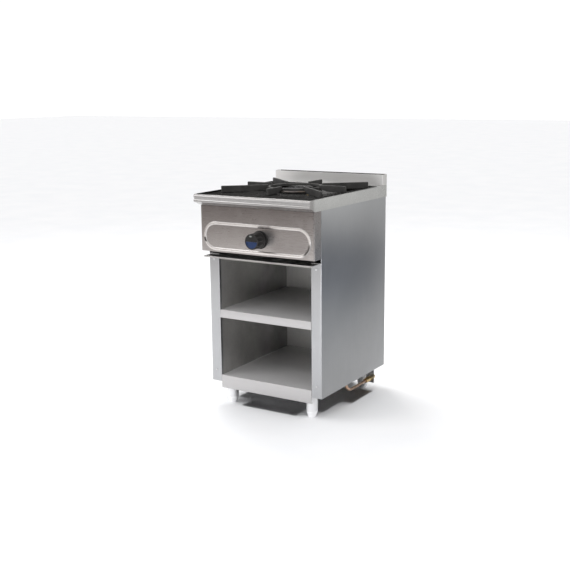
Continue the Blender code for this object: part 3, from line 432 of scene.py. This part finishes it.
def on_bead(tree):
    """1 along the middle of the control panel's bead, fading to 0 at its sides."""
    spot = parts_of(tree, place(tree))
    reach = maths(tree, "SUBTRACT", maths(tree, "ABSOLUTE", spot["X"]), BEAD_STRAIGHT)
    reach = maths(tree, "MAXIMUM", reach, 0.0)
    rise = maths(tree, "SUBTRACT", spot["Z"], KNOB_HEIGHT)
    square = maths(tree, "ADD", maths(tree, "MULTIPLY", reach, reach),
                   maths(tree, "MULTIPLY", rise, rise))
    off_line = maths(tree, "SUBTRACT", maths(tree, "SQRT", square), BEAD_TURN)
    return remap(tree, maths(tree, "ABSOLUTE", off_line),
                 (BEAD_HALF_WIDTH, BEAD_HALF_WIDTH * BEAD_CORE))


def panel_marks(tree, base):
    """Paint over the control panel's steel: a darker patch, the bead's polish with a painted highlight,
    painted shade and a painted dark reflection at the bead's ends, and the knob's painted reflection,
    which takes the bead's brightness away and lies on it as a black bar above the knob."""
    # The knob's painted reflection, which takes the bead's brightness away.
    rubbing_and_reflection = maths(tree, "MULTIPLY", box_mask(tree, *KNOB_REFLECTION_PATCH), KNOB_REFLECTION_COVER)
    bead = maths(tree, "MULTIPLY", on_bead(tree), maths(tree, "SUBTRACT", 1.0, rubbing_and_reflection))
    # A darker patch to the right of the knob.
    darker_patch = maths(tree, "MULTIPLY", box_mask(tree, *PANEL_DARK_PATCH), PANEL_DARK_SHARE)
    base = colour_mix(tree, darker_patch, base, FASCIA_DARK_TONE)
    # The bead's polish with a painted highlight along it.
    base = colour_mix(tree, bead, base, BEAD_POLISH_AND_HIGHLIGHT)
    # Painted shade and a painted dark reflection at the bead's ends.
    for stretch, dark in ((BEAD_SHADE_LOWER_RIGHT, BEAD_SHADE_TONE), (BEAD_REFLECTION_LEFT_END, BEAD_REFLECTION_TONE)):
        base = colour_mix(tree, maths(tree, "MULTIPLY", bead, box_mask(tree, *stretch)), base, dark)
    # The knob's painted reflection, a black bar on the bead above it.
    return colour_mix(tree, box_mask(tree, *KNOB_REFLECTION_BAR), base, KNOB_REFLECTION_BLACK)


def brushed_steel(name, tint, along, gloss, waves=0.0, metallic=1.0, painted_shade_band=None, painted_rear_shade=None,
                  is_panel=False):
    """Stainless sheet: grain along one axis, long streaks and smudges. A band of painted shade darkens
    it along an axis, painted shade darkens it towards the rear, and the panel has marks of its own, most
    of them painted highlight, shade and reflections."""
    material, tree, shader = new_material(name)
    grain = mark(tree, "grain", along_axis(along, GRAIN_SQUEEZE))
    streaks = mark(tree, "streaks", along_axis(along, STREAK_SQUEEZE))
    clouds = mark(tree, "clouds")
    smudged = tinted(tint, 1.0 - SMUDGE)
    base = colour_mix(tree, remap(tree, clouds, MIDDLE_BAND), smudged, tinted(tint, 1.0))
    base = colour_mix(tree, remap(tree, streaks, MIDDLE_BAND, (0.0, 0.6)), base, smudged)
    base = colour_mix(tree, remap(tree, grain, (0.35, 0.70), (0.0, 0.30)), base, tinted(tint, 0.86))
    # A band of painted shade along one axis.
    if painted_shade_band:
        axis, start, full, drifting, painted_shade_tint = painted_shade_band
        drift = maths(tree, "ADD", parts_of(tree, place(tree))[axis],
                      remap(tree, clouds, WIDE_BAND, (-drifting, drifting)))
        base = colour_mix(tree, remap(tree, drift, (start, full)), base, painted_shade_tint)
    # Painted shade, darker towards the rear.
    if painted_rear_shade:
        start, full, share = painted_rear_shade
        depth = parts_of(tree, place(tree))["Y"]
        base = colour_mix(tree, remap(tree, depth, (start, full)), base, tinted(tint, share))
    if is_panel:
        base = panel_marks(tree, base)
    wire(tree, shader, base, remap(tree, grain, WIDE_BAND, (gloss - 0.04, gloss + 0.05)),
         remap(tree, mark(tree, "prints"), (0.50, 0.72), (0.0, 0.05)))
    set_shader(shader, Metallic=metallic)
    relief(tree, shader, grain, *DEPTHS["grain"])
    if waves:
        relief(tree, shader, mark(tree, "waves"), waves)
    return material


def mill_steel(name, tint, gloss, metallic=1.0, painted_shade_inside=False, painted_rear_shade=None):
    """Dull, unbrushed inner sheet: fine mottle, long faint rolling marks, light stains, and painted
    shade that thickens towards the rear. The rear panel gets painted shade on its inside."""
    material, tree, shader = new_material(name)
    mottle = mark(tree, "mottle")
    rolling = mark(tree, "rolling", along_axis("Z", ROLLING_SQUEEZE))
    stains = mark(tree, "stains")
    base = colour_mix(tree, remap(tree, stains, (0.40, 0.66)), tinted(tint, 1.0), tinted(tint, 0.90))
    base = colour_mix(tree, remap(tree, rolling, (0.42, 0.60), (0.0, 0.25)), base, tinted(tint, 1.06))
    base = colour_mix(tree, remap(tree, mottle, (0.40, 0.65), (0.0, 0.3)), base, tinted(tint, 0.85))
    # Painted shade, darker towards the rear, with a drifting edge.
    if painted_rear_shade:
        start, full, share = painted_rear_shade
        drift = maths(tree, "ADD", parts_of(tree, place(tree))["Y"],
                      remap(tree, stains, WIDE_BAND, (-REAR_SHADE_DRIFT, REAR_SHADE_DRIFT)))
        base = colour_mix(tree, remap(tree, drift, (start, full)), base, tinted(tint, share))
    # Painted shade on the rear panel's inside faces.
    if painted_shade_inside:
        normal = tree.nodes.new("ShaderNodeNewGeometry").outputs["Normal"]
        inside = maths(tree, "LESS_THAN", parts_of(tree, normal)["Y"], FACES_FORWARD)
        base = colour_mix(tree, inside, base, tinted(tint, 0.10))
    wire(tree, shader, base, remap(tree, mottle, WIDE_BAND, (gloss - 0.04, gloss + 0.08)),
         remap(tree, stains, (0.45, 0.65), (0.0, 0.10)))
    set_shader(shader, Metallic=metallic)
    relief(tree, shader, mottle, *DEPTHS["mottle"])
    relief(tree, shader, mark(tree, "buckles"), *DEPTHS["buckles"])
    return material


def galvanised(name, tint):
    """Zinc spangle: angular crystals of slightly different greys, with a dull bloom."""
    material, tree, shader = new_material(name)
    grey = tree.nodes.new("ShaderNodeRGBToBW")
    tree.links.new(cells(tree, SPANGLE_CELLS, "Color", (0.2, 0.1, 0.0)), grey.inputs["Color"])
    crystals = grey.outputs["Val"]
    bloom = mark(tree, "bloom")
    base = colour_mix(tree, crystals, tinted(tint, 0.72), tinted(tint, 1.12))
    base = colour_mix(tree, remap(tree, bloom, (0.42, 0.68), (0.0, 0.55)), base, tinted(tint, 0.85))
    wire(tree, shader, base, remap(tree, crystals, (0.0, 1.0), (0.32, 0.50)),
         remap(tree, bloom, (0.45, 0.7), (0.0, 0.12)))
    set_shader(shader, Metallic=0.9)
    relief(tree, shader, bloom, *DEPTHS["bloom"])
    return material


def vitreous_enamel(name, tint, gloss):
    """Fired enamel: a glossy coat with orange peel, pin specks, baked-on haze and worn rims."""
    material, tree, shader = new_material(name)
    specks = remap(tree, cells(tree, SPECK_CELLS, "Distance"), (0.05, 0.16), (1.0, 0.0))
    specks = maths(tree, "MULTIPLY", specks, remap(tree, mark(tree, "sparse"), (0.58, 0.66)))
    haze = mark(tree, "haze")
    worn = maths(tree, "MULTIPLY", edges(tree, ENAMEL_WEAR), 0.5)
    base = colour_mix(tree, remap(tree, haze, (0.42, 0.70)), tinted(tint, 1.0), tinted(tint, 1.9))
    base = colour_mix(tree, specks, base, ENAMEL_SPECK)
    base = colour_mix(tree, worn, base, ENAMEL_WORN)
    wire(tree, shader, base, remap(tree, haze, (0.38, 0.68), (gloss, gloss + 0.07)),
         remap(tree, mark(tree, "baked_dust"), (0.48, 0.75), (0.0, 0.05)))
    set_shader(shader, Coat_Weight=0.03, Coat_Roughness=0.15, Specular_IOR_Level=0.14)
    relief(tree, shader, mark(tree, "orange_peel"), *DEPTHS["orange_peel"])
    return material


def cast_iron(name, tint, rubbing_and_reflection):
    """Sand cast iron, blackened: coarse and fine grain, soot, slightly bright rubbed edges."""
    material, tree, shader = new_material(name)
    sand = mark(tree, "sand")
    soot = mark(tree, "soot")
    worn = maths(tree, "MULTIPLY", edges(tree, IRON_WEAR), rubbing_and_reflection)
    base = colour_mix(tree, remap(tree, soot, (0.40, 0.66)), tinted(tint, 1.5), tinted(tint, 0.7))
    base = colour_mix(tree, remap(tree, sand, (0.45, 0.70), (0.0, 0.6)), base, tinted(tint, 2.2))
    base = colour_mix(tree, worn, base, IRON_RUBBED)
    wire(tree, shader, base, remap(tree, sand, WIDE_BAND, (0.46, 0.62)),
         remap(tree, soot, (0.4, 0.65), (0.0, 0.14)))
    set_shader(shader, Metallic=0.25, Specular_IOR_Level=0.40)
    relief(tree, shader, sand, *DEPTHS["sand"])
    relief(tree, shader, mark(tree, "lumps"), *DEPTHS["lumps"])
    pits = remap(tree, cells(tree, PIT_CELLS, "Distance"), (0.02, 0.30))
    relief(tree, shader, pits, *DEPTHS["pits"])
    return material


def turned_metal(name, tint, gloss=0.24, tarnish=(0.5, 0.45, 0.4), amount=0.5, metallic=1.0):
    """Machined, drawn or turned metal: fine tool marks, tarnish in patches, bright edges."""
    material, tree, shader = new_material(name)
    tool_marks = mark(tree, "tool_marks")
    patches = mark(tree, "patches")
    film = mark(tree, "film")
    base = colour_mix(tree, remap(tree, patches, (0.42, 0.68), (0.0, amount)), tinted(tint, 1.0),
                      toned(tint, tarnish))
    base = colour_mix(tree, remap(tree, film, (0.40, 0.62), (0.0, 0.5)), base, tinted(tint, 0.82))
    base = colour_mix(tree, edges(tree, METAL_WEAR), base, tinted(tint, 1.15))
    wire(tree, shader, base, remap(tree, tool_marks, WIDE_BAND, (gloss - 0.04, gloss + 0.06)),
         remap(tree, patches, (0.45, 0.68), (0.0, 0.18 * amount)))
    set_shader(shader, Metallic=metallic)
    relief(tree, shader, tool_marks, *DEPTHS["tool_marks"])
    relief(tree, shader, patches, *DEPTHS["patches"])
    return material


def heat_tinted(name, tint):
    """Burner alloy after use: drifting straw to blue-grey tints, and scale."""
    material, tree, shader = new_material(name)
    scale = mark(tree, "scale")
    drift = mark(tree, "heat_drift")
    base = colour_mix(tree, remap(tree, drift, (0.35, 0.60)), tinted(tint, 1.0), toned(tint, STRAW_TONE))
    base = colour_mix(tree, remap(tree, drift, (0.52, 0.72), (0.0, 0.7)), base, toned(tint, BLUED_TONE))
    base = colour_mix(tree, remap(tree, scale, (0.50, 0.72), (0.0, 0.8)), base, tinted(tint, 0.30))
    tree.links.new(base, shader.inputs["Base Color"])
    tree.links.new(remap(tree, scale, (0.35, 0.70), (0.30, 0.62)), shader.inputs["Roughness"])
    set_shader(shader, Metallic=0.85)
    relief(tree, shader, scale, *DEPTHS["scale"])
    return material


def oval_spot(tree, centre, radius, wide):
    """1 within an oval about a place on the object, with a thin soft edge."""
    away = tree.nodes.new("ShaderNodeVectorMath")
    away.operation = "DISTANCE"
    tree.links.new(place(tree, (1.0 / wide, 1.0, 1.0)), away.inputs[0])
    away.inputs[1].default_value = (centre[0] / wide, centre[1], centre[2])
    return remap(tree, away.outputs["Value"], (radius, radius * GLINT_EDGE))


def moulded_plastic(name, tint, gloss, coat=0.0, painted_glint=None):
    """Phenolic moulding: spark-eroded texture, rubbed shine on the grips, dust in the corners."""
    material, tree, shader = new_material(name)
    spark = mark(tree, "spark")
    handling = mark(tree, "handling")
    dust = remap(tree, mark(tree, "fine_dust"), (0.58, 0.80), (0.0, 0.05))
    worn = maths(tree, "MULTIPLY", edges(tree, PLASTIC_WEAR), 0.35)
    base = colour_mix(tree, remap(tree, handling, (0.38, 0.66)), tinted(tint, 0.85), tinted(tint, 1.25))
    base = colour_mix(tree, dust, base, PLASTIC_DUST)
    base = colour_mix(tree, worn, base, tuple(channel * 1.4 + 0.04 for channel in tint))
    # The painted highlight on the knob's face.
    if painted_glint:
        base = colour_mix(tree, oval_spot(tree, *painted_glint), base, GLINT_PALE)
    wire(tree, shader, base, remap(tree, spark, WIDE_BAND, (gloss - 0.03, gloss + 0.06)),
         remap(tree, handling, (0.42, 0.62), (0.0, 0.10)))
    set_shader(shader, Specular_IOR_Level=0.36, Coat_Weight=coat, Coat_Roughness=0.10)
    relief(tree, shader, spark, *DEPTHS["spark"])
    return material


RECIPES = {
    "steel_top": (brushed_steel, dict(tint=TOP_SHEET, along="X", gloss=0.28, painted_shade_band=NOSE_PAINTED_SHADE)),
    "steel_side": (brushed_steel, dict(tint=SIDE_SHEET, along="Z", gloss=0.32, waves=0.0010)),
    "steel_splash": (brushed_steel, dict(tint=SPLASH_SHEET, along="X", gloss=0.46)),
    "steel_fascia": (brushed_steel, dict(tint=FASCIA_SHEET, along="X", gloss=0.28, painted_shade_band=FASCIA_SHADE_UNDER_NOSE,
                                         is_panel=True)),
    "steel_shelf": (brushed_steel, dict(tint=SHELF_SHEET, along="X", gloss=0.44, metallic=0.45,
                                        painted_shade_band=SHELF_FRONT_PAINTED_SHADE, painted_rear_shade=SHELF_REAR_SHADE)),
    "steel_tray": (brushed_steel, dict(tint=SHEET, along="X", gloss=0.30)),
    "steel_tube": (brushed_steel, dict(tint=TUBE_SHEET, along="Z", gloss=0.34, metallic=0.6)),
    "steel_inner": (mill_steel, dict(tint=INNER_SHEET, gloss=0.34, metallic=0.85, painted_rear_shade=INNER_REAR_SHADE)),
    "steel_back": (mill_steel, dict(tint=BACK_SHEET, gloss=0.34, metallic=0.85)),
    "steel_rear": (mill_steel, dict(tint=SHEET, gloss=0.34, painted_shade_inside=True)),
    "zinc": (galvanised, dict(tint=ZINC)),
    "enamel": (vitreous_enamel, dict(tint=(0.0036, 0.0032, 0.0030), gloss=0.22)),
    "iron": (cast_iron, dict(tint=(0.034, 0.033, 0.032), rubbing_and_reflection=0.24)),
    "raw_iron": (cast_iron, dict(tint=(0.06, 0.055, 0.05), rubbing_and_reflection=0.6)),
    "cap_enamel": (vitreous_enamel, dict(tint=(0.012, 0.012, 0.013), gloss=0.22)),
    "alloy": (heat_tinted, dict(tint=(0.17, 0.155, 0.15))),
    "machined": (turned_metal, dict(tint=(0.66, 0.66, 0.67))),
    # The feet's near-white tint is painted light, lighter than their steel, standing in for light that
    # the cabinet keeps off them.
    "foot_steel": (turned_metal, dict(tint=(0.97, 0.97, 0.98), gloss=0.36, tarnish=(0.92, 0.92, 0.92),
                                      amount=0.3, metallic=0.35)),
    "brass": (turned_metal, dict(tint=(0.72, 0.55, 0.28), gloss=0.28, tarnish=(0.6, 0.5, 0.45),
                                 amount=0.6)),
    "copper": (turned_metal, dict(tint=(0.72, 0.50, 0.36), gloss=0.26, tarnish=(0.55, 0.45, 0.42),
                                  amount=0.7)),
    "chrome": (turned_metal, dict(tint=(0.80, 0.80, 0.81), gloss=0.08, tarnish=(0.85, 0.85, 0.85),
                                  amount=0.2)),
    "black_moulding": (moulded_plastic, dict(tint=(0.0064, 0.0060, 0.0058), gloss=0.36,
                                             painted_glint=KNOB_PAINTED_GLINT)),
    "blue_moulding": (moulded_plastic, dict(tint=(0.0048, 0.0185, 0.066), gloss=0.26, coat=0.15)),
}
LOOKS = {name: make(name, **how) for name, (make, how) in RECIPES.items()}

# ---------------------------------------------------------------- CAD nodes, finished

# Corners closer than WELD are joined, faces flatter than FLAT_ANGLE are merged, and bends sharper
# than SMOOTH_ANGLE stay edges and are rounded by SHEET_EDGE on sheet.
WELD = 0.00015
FLAT_ANGLE = math.radians(0.02)
SMOOTH_ANGLE = math.radians(28.0)
SHEET_EDGE = 0.00028
EDGE_SEGMENTS = 2

# A look, the width of its rounded edges, and the nodes that have it.
FINISHES = (
    ("steel_top", SHEET_EDGE, ("worktop",)),
    ("steel_splash", SHEET_EDGE, ("backsplash",)),
    ("steel_side", SHEET_EDGE, ("side_panel_left", "side_panel_right")),
    ("steel_fascia", SHEET_EDGE, ("control_panel",)),
    ("steel_shelf", SHEET_EDGE, ("middle_shelf", "bottom_shelf")),
    ("steel_tray", SHEET_EDGE, ("drip_tray",)),
    ("steel_tube", SHEET_EDGE, ("leg_front_left", "leg_front_right", "leg_rear_left", "leg_rear_right")),
    ("steel_inner", 0.0, ("side_liner_left", "side_liner_right", "compartment_ceiling")),
    ("steel_back", 0.0, ("back_liner",)),
    ("steel_rear", 0.0, ("rear_panel",)),
    ("zinc", SHEET_EDGE, ("base_channel_front", "base_channel_rear", "burner_rail", "front_cross_rail",
                          "rear_cross_rail", "manifold", "tray_guide_left", "tray_guide_right")),
    ("enamel", SHEET_EDGE, ("spill_plate",)),
    ("iron", 0.0008, ("pan_support",)),
    ("raw_iron", 0.0005, ("burner_bowl", "mixing_tube")),
    ("cap_enamel", 0.0005, ("burner_cap",)),
    ("alloy", 0.0003, ("burner_head",)),
    ("machined", 0.0002, ("air_shutter", "inlet_bracket", "pilot_bracket", "tap_magnet_unit",
                          "tap_push_rod", "tap_spindle", "thermocouple", "post_screw_left_lower",
                          "post_screw_left_upper", "post_screw_right_lower",
                          "post_screw_right_upper")),
    ("foot_steel", 0.0004, ("foot_front_left", "foot_front_right", "foot_rear_left", "foot_rear_right")),
    ("brass", 0.0003, ("injector", "injector_holder", "inlet_fitting", "inlet_pipe_nut", "pilot_burner",
                       "tap_body")),
    ("copper", 0.0, ("burner_feed_pipe", "pilot_feed_pipe", "riser_pipe")),
    ("chrome", 0.0003, ("inlet_locknut",)),
    ("black_moulding", 0.0004, ("knob", "knob_bezel")),
    ("blue_moulding", 0.0003, ("knob_insert",)),
)


def finished(name, look, edge):
    """Replaces a CAD node with a copy that has welded corners, smooth bends and rounded sharp edges."""
    source = nodes[name]
    mesh = source.data.copy()
    mesh.name = name + "_finished"
    piece = bpy.data.objects.new(name + "_finished", mesh)
    bpy.context.scene.collection.objects.link(piece)
    made = bmesh.new()
    made.from_mesh(mesh)
    bmesh.ops.remove_doubles(made, verts=made.verts, dist=WELD)
    bmesh.ops.dissolve_limit(made, angle_limit=FLAT_ANGLE, verts=made.verts, edges=made.edges)
    for face in made.faces:
        face.smooth = True
    for line in made.edges:
        line.smooth = line.calc_face_angle(0.0) < SMOOTH_ANGLE
    made.to_mesh(mesh)
    made.free()
    for extra in ("sharp_face", "custom_normal"):
        if extra in mesh.attributes:
            mesh.attributes.remove(mesh.attributes[extra])
    mesh.materials.clear()
    mesh.materials.append(LOOKS[look])
    if edge:
        rounding = piece.modifiers.new("edges", "BEVEL")
        rounding.width = edge
        rounding.segments = EDGE_SEGMENTS
        rounding.limit_method = "ANGLE"
        rounding.angle_limit = SMOOTH_ANGLE
        rounding.use_clamp_overlap = False
        rounding.harden_normals = True
    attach(piece, source["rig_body"])
    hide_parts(name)


# ---------------------------------------------------------------- stage

WORLD_STRENGTH = 1.06
FLOOR_REACH = 30.0
FLOOR_COLOURS = ((0.87, 0.875, 0.89), (0.90, 0.90, 0.91))
BLACK = (0.0, 0.0, 0.0)
NEAR_BLACK = (0.004, 0.004, 0.004)

# Lights: name, place, what it points at, size, watts, colour.
LIGHTS = (
    ("key", (-1.5, 1.3, 2.9), (0.0, 0.0, 0.3), (1.6, 1.6), 55.0, (1.0, 0.99, 0.97)),
    ("fill", (-2.2, -2.0, 2.6), (0.0, 0.0, 0.5), (2.0, 1.5), 30.0, (0.97, 0.98, 1.0)),
    ("low_front", (0.6, -2.3, 0.5), (0.0, 0.0, 0.05), (1.2, 0.5), 9.0, (0.97, 0.98, 1.0)),
)

# The place along Y about which a card's bands lean, and the places between which it dims.
LEAN_FROM = 1.156
DIM_BETWEEN = (0.7, 1.6)

# The shade under the range: its gap from the floor and inside the legs, its clearance beside
# them, how far its front stands back, where it widens, and its gap under the side panels.
SHADE_GAP = 0.004
SHADE_CLEAR = 0.035
SHADE_SETBACK = 0.014
SHADE_WIDENS = 0.04
SHADE_TOP_GAP = 0.002


def show(name, corners, faces):
    """A new object in the scene, made of the corners and faces."""
    mesh = bpy.data.meshes.new(name)
    mesh.from_pydata(corners, [], faces)
    shown = bpy.data.objects.new(name, mesh)
    bpy.context.scene.collection.objects.link(shown)
    return shown


def flat_card(name, centre, across, up, glow, lean=0.0, far_share=1.0):
    """A studio card seen only in reflections: glow is a list of (share of height, colour) from 0 to
    1, its bands fall by lean for each metre along Y, and it dims to far_share at its far end."""
    half = Vector(across) / 2.0
    rise = Vector(up) / 2.0
    middle = Vector(centre)
    corners = [middle - half - rise, middle + half - rise, middle + half + rise, middle - half + rise]
    card = show(name, [tuple(corner) for corner in corners], [(0, 1, 2, 3)])
    material = bpy.data.materials.new(name)
    material.use_nodes = True
    tree = material.node_tree
    tree.nodes.clear()
    spot = parts_of(tree, tree.nodes.new("ShaderNodeNewGeometry").outputs["Position"])
    low = corners[0].z
    high = corners[2].z
    fallen = maths(tree, "MULTIPLY", maths(tree, "SUBTRACT", spot["Y"], LEAN_FROM), lean)
    share = remap(tree, maths(tree, "ADD", spot["Z"], fallen), (low, high))
    ramp = tree.nodes.new("ShaderNodeValToRGB")
    stops = ramp.color_ramp.elements
    for height, colour in glow[1:-1]:
        stops.new(height).color = (*colour, 1.0)
    stops[0].color = (*glow[0][1], 1.0)
    stops[-1].color = (*glow[-1][1], 1.0)
    tree.links.new(share, ramp.inputs["Fac"])
    light = tree.nodes.new("ShaderNodeEmission")
    tree.links.new(ramp.outputs["Color"], light.inputs["Color"])
    tree.links.new(remap(tree, spot["Y"], DIM_BETWEEN, (1.0, far_share)), light.inputs["Strength"])
    output = tree.nodes.new("ShaderNodeOutputMaterial")
    tree.links.new(light.outputs["Emission"], output.inputs["Surface"])
    card.data.materials.append(material)
    card.visible_camera = False
    card.visible_diffuse = False
    card.visible_shadow = False
    card.visible_transmission = False


def soft_light(name, place_at, aim, size, power, colour):
    lamp = bpy.data.lights.new(name, "AREA")
    lamp.shape = "RECTANGLE"
    lamp.size = size[0]
    lamp.size_y = size[1]
    lamp.energy = power
    lamp.color = colour
    light = bpy.data.objects.new(name, lamp)
    bpy.context.scene.collection.objects.link(light)
    light.location = place_at
    light.rotation_euler = (Vector(aim) - Vector(place_at)).to_track_quat("-Z", "Y").to_euler()
    light.visible_camera = False


def under_shade():
    """Keeps stray light out from under the range: an open wall of black cards that passes inside
    each leg, in the outline of a plus."""
    low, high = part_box("bottom_shelf")
    leg_low, leg_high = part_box("leg_front_right")
    rear_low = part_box("leg_rear_right")[0]
    wide, narrow = leg_high.x - SHADE_GAP, leg_low.x - SHADE_CLEAR
    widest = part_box("side_panel_right")[1].x - SHADE_GAP
    front, rear = low.y + SHADE_SETBACK, high.y
    inner_front, inner_rear = leg_high.y + SHADE_CLEAR, rear_low.y - SHADE_GAP
    plus = [
        (-narrow, front), (narrow, front), (narrow, inner_front), (wide, inner_front),
        (wide, SHADE_WIDENS), (widest, SHADE_WIDENS), (widest, inner_rear), (narrow, inner_rear),
        (narrow, rear), (-narrow, rear), (-narrow, inner_rear), (-wide, inner_rear),
        (-wide, inner_front), (-narrow, inner_front),
    ]
    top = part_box("side_panel_left")[0].z - SHADE_TOP_GAP
    corners = [(x, y, z) for z in (SHADE_GAP, top) for x, y in plus]
    count = len(plus)
    walls = [(i, (i + 1) % count, (i + 1) % count + count, i + count) for i in range(count)]
    shade = show("under_shade", corners, walls)
    material, tree, shader = new_material("under_shade")
    weave = colour_mix(tree, mark(tree, "weave"), BLACK, NEAR_BLACK)
    tree.links.new(weave, shader.inputs["Base Color"])
    shade.data.materials.append(material)
    shade.visible_camera = False
    shade.visible_glossy = False


def make_floor():
    reach = FLOOR_REACH
    corners = [(-reach, -reach, 0.0), (reach, -reach, 0.0), (reach, reach, 0.0), (-reach, reach, 0.0)]
    floor = show("floor", corners, [(0, 1, 2, 3)])
    material, tree, shader = new_material("floor")
    base = colour_mix(tree, remap(tree, mark(tree, "floor_tone"), MIDDLE_BAND), *FLOOR_COLOURS)
    tree.links.new(base, shader.inputs["Base Color"])
    set_shader(shader, Roughness=0.75, Specular_IOR_Level=0.15)
    floor.data.materials.append(material)


def make_cards():
    # Reflected by the right side.
    flat_card("card_right", (0.80, 2.00, 1.20), (0.0, -6.00, 0.0), (0.0, 0.0, 2.40), [
        (0.0, (0.62, 0.63, 0.64)), (0.05, (0.50, 0.52, 0.54)), (0.10, (0.25, 0.27, 0.31)),
        (0.175, (0.19, 0.205, 0.235)), (0.225, (0.70, 0.70, 0.69)), (0.27, (1.02, 1.02, 1.01)),
        (1.0, (0.95, 0.95, 0.94)),
    ], lean=0.15, far_share=0.60)
    flat_card("card_low_right", (0.55, 1.50, 0.004), (0.48, 0.0, 0.0), (0.0, 4.00, 0.0), [
        (0.0, (0.70, 0.70, 0.70)), (1.0, (0.70, 0.70, 0.70)),
    ])
    # Reflected by the front: brownish at the height that the control panel sees.
    flat_card("card_front", (-0.80, -1.55, 0.60), (1.60, -0.99, 0.0), (0.0, 0.0, 1.20), [
        (0.0, (1.35, 1.35, 1.35)), (0.20, (1.35, 1.34, 1.33)), (0.28, (0.60, 0.56, 0.54)),
        (0.55, (0.34, 0.30, 0.28)), (0.75, (0.8, 0.78, 0.76)), (1.0, (0.9, 0.88, 0.86)),
    ])
    # Reflected by the hob plate.
    flat_card("card_back", (-1.00, 1.70, 1.60), (3.4, 2.10, 0.0), (0.0, 0.0, 1.60), [
        (0.0, (0.02, 0.02, 0.02)), (0.45, (0.03, 0.03, 0.03)), (1.0, (0.22, 0.22, 0.22)),
    ])


def make_world():
    world = bpy.data.worlds.new("studio")
    world.use_nodes = True
    background = world.node_tree.nodes["Background"]
    background.inputs["Color"].default_value = (1.0, 1.0, 1.0, 1.0)
    background.inputs["Strength"].default_value = WORLD_STRENGTH
    bpy.context.scene.world = world


make_camera()
make_floor()
make_world()
for light in LIGHTS:
    soft_light(*light)
under_shade()
make_cards()
for look, edge, names in FINISHES:
    for name in names:
        finished(name, look, edge)

bpy.context.scene.view_settings.view_transform = "Standard"
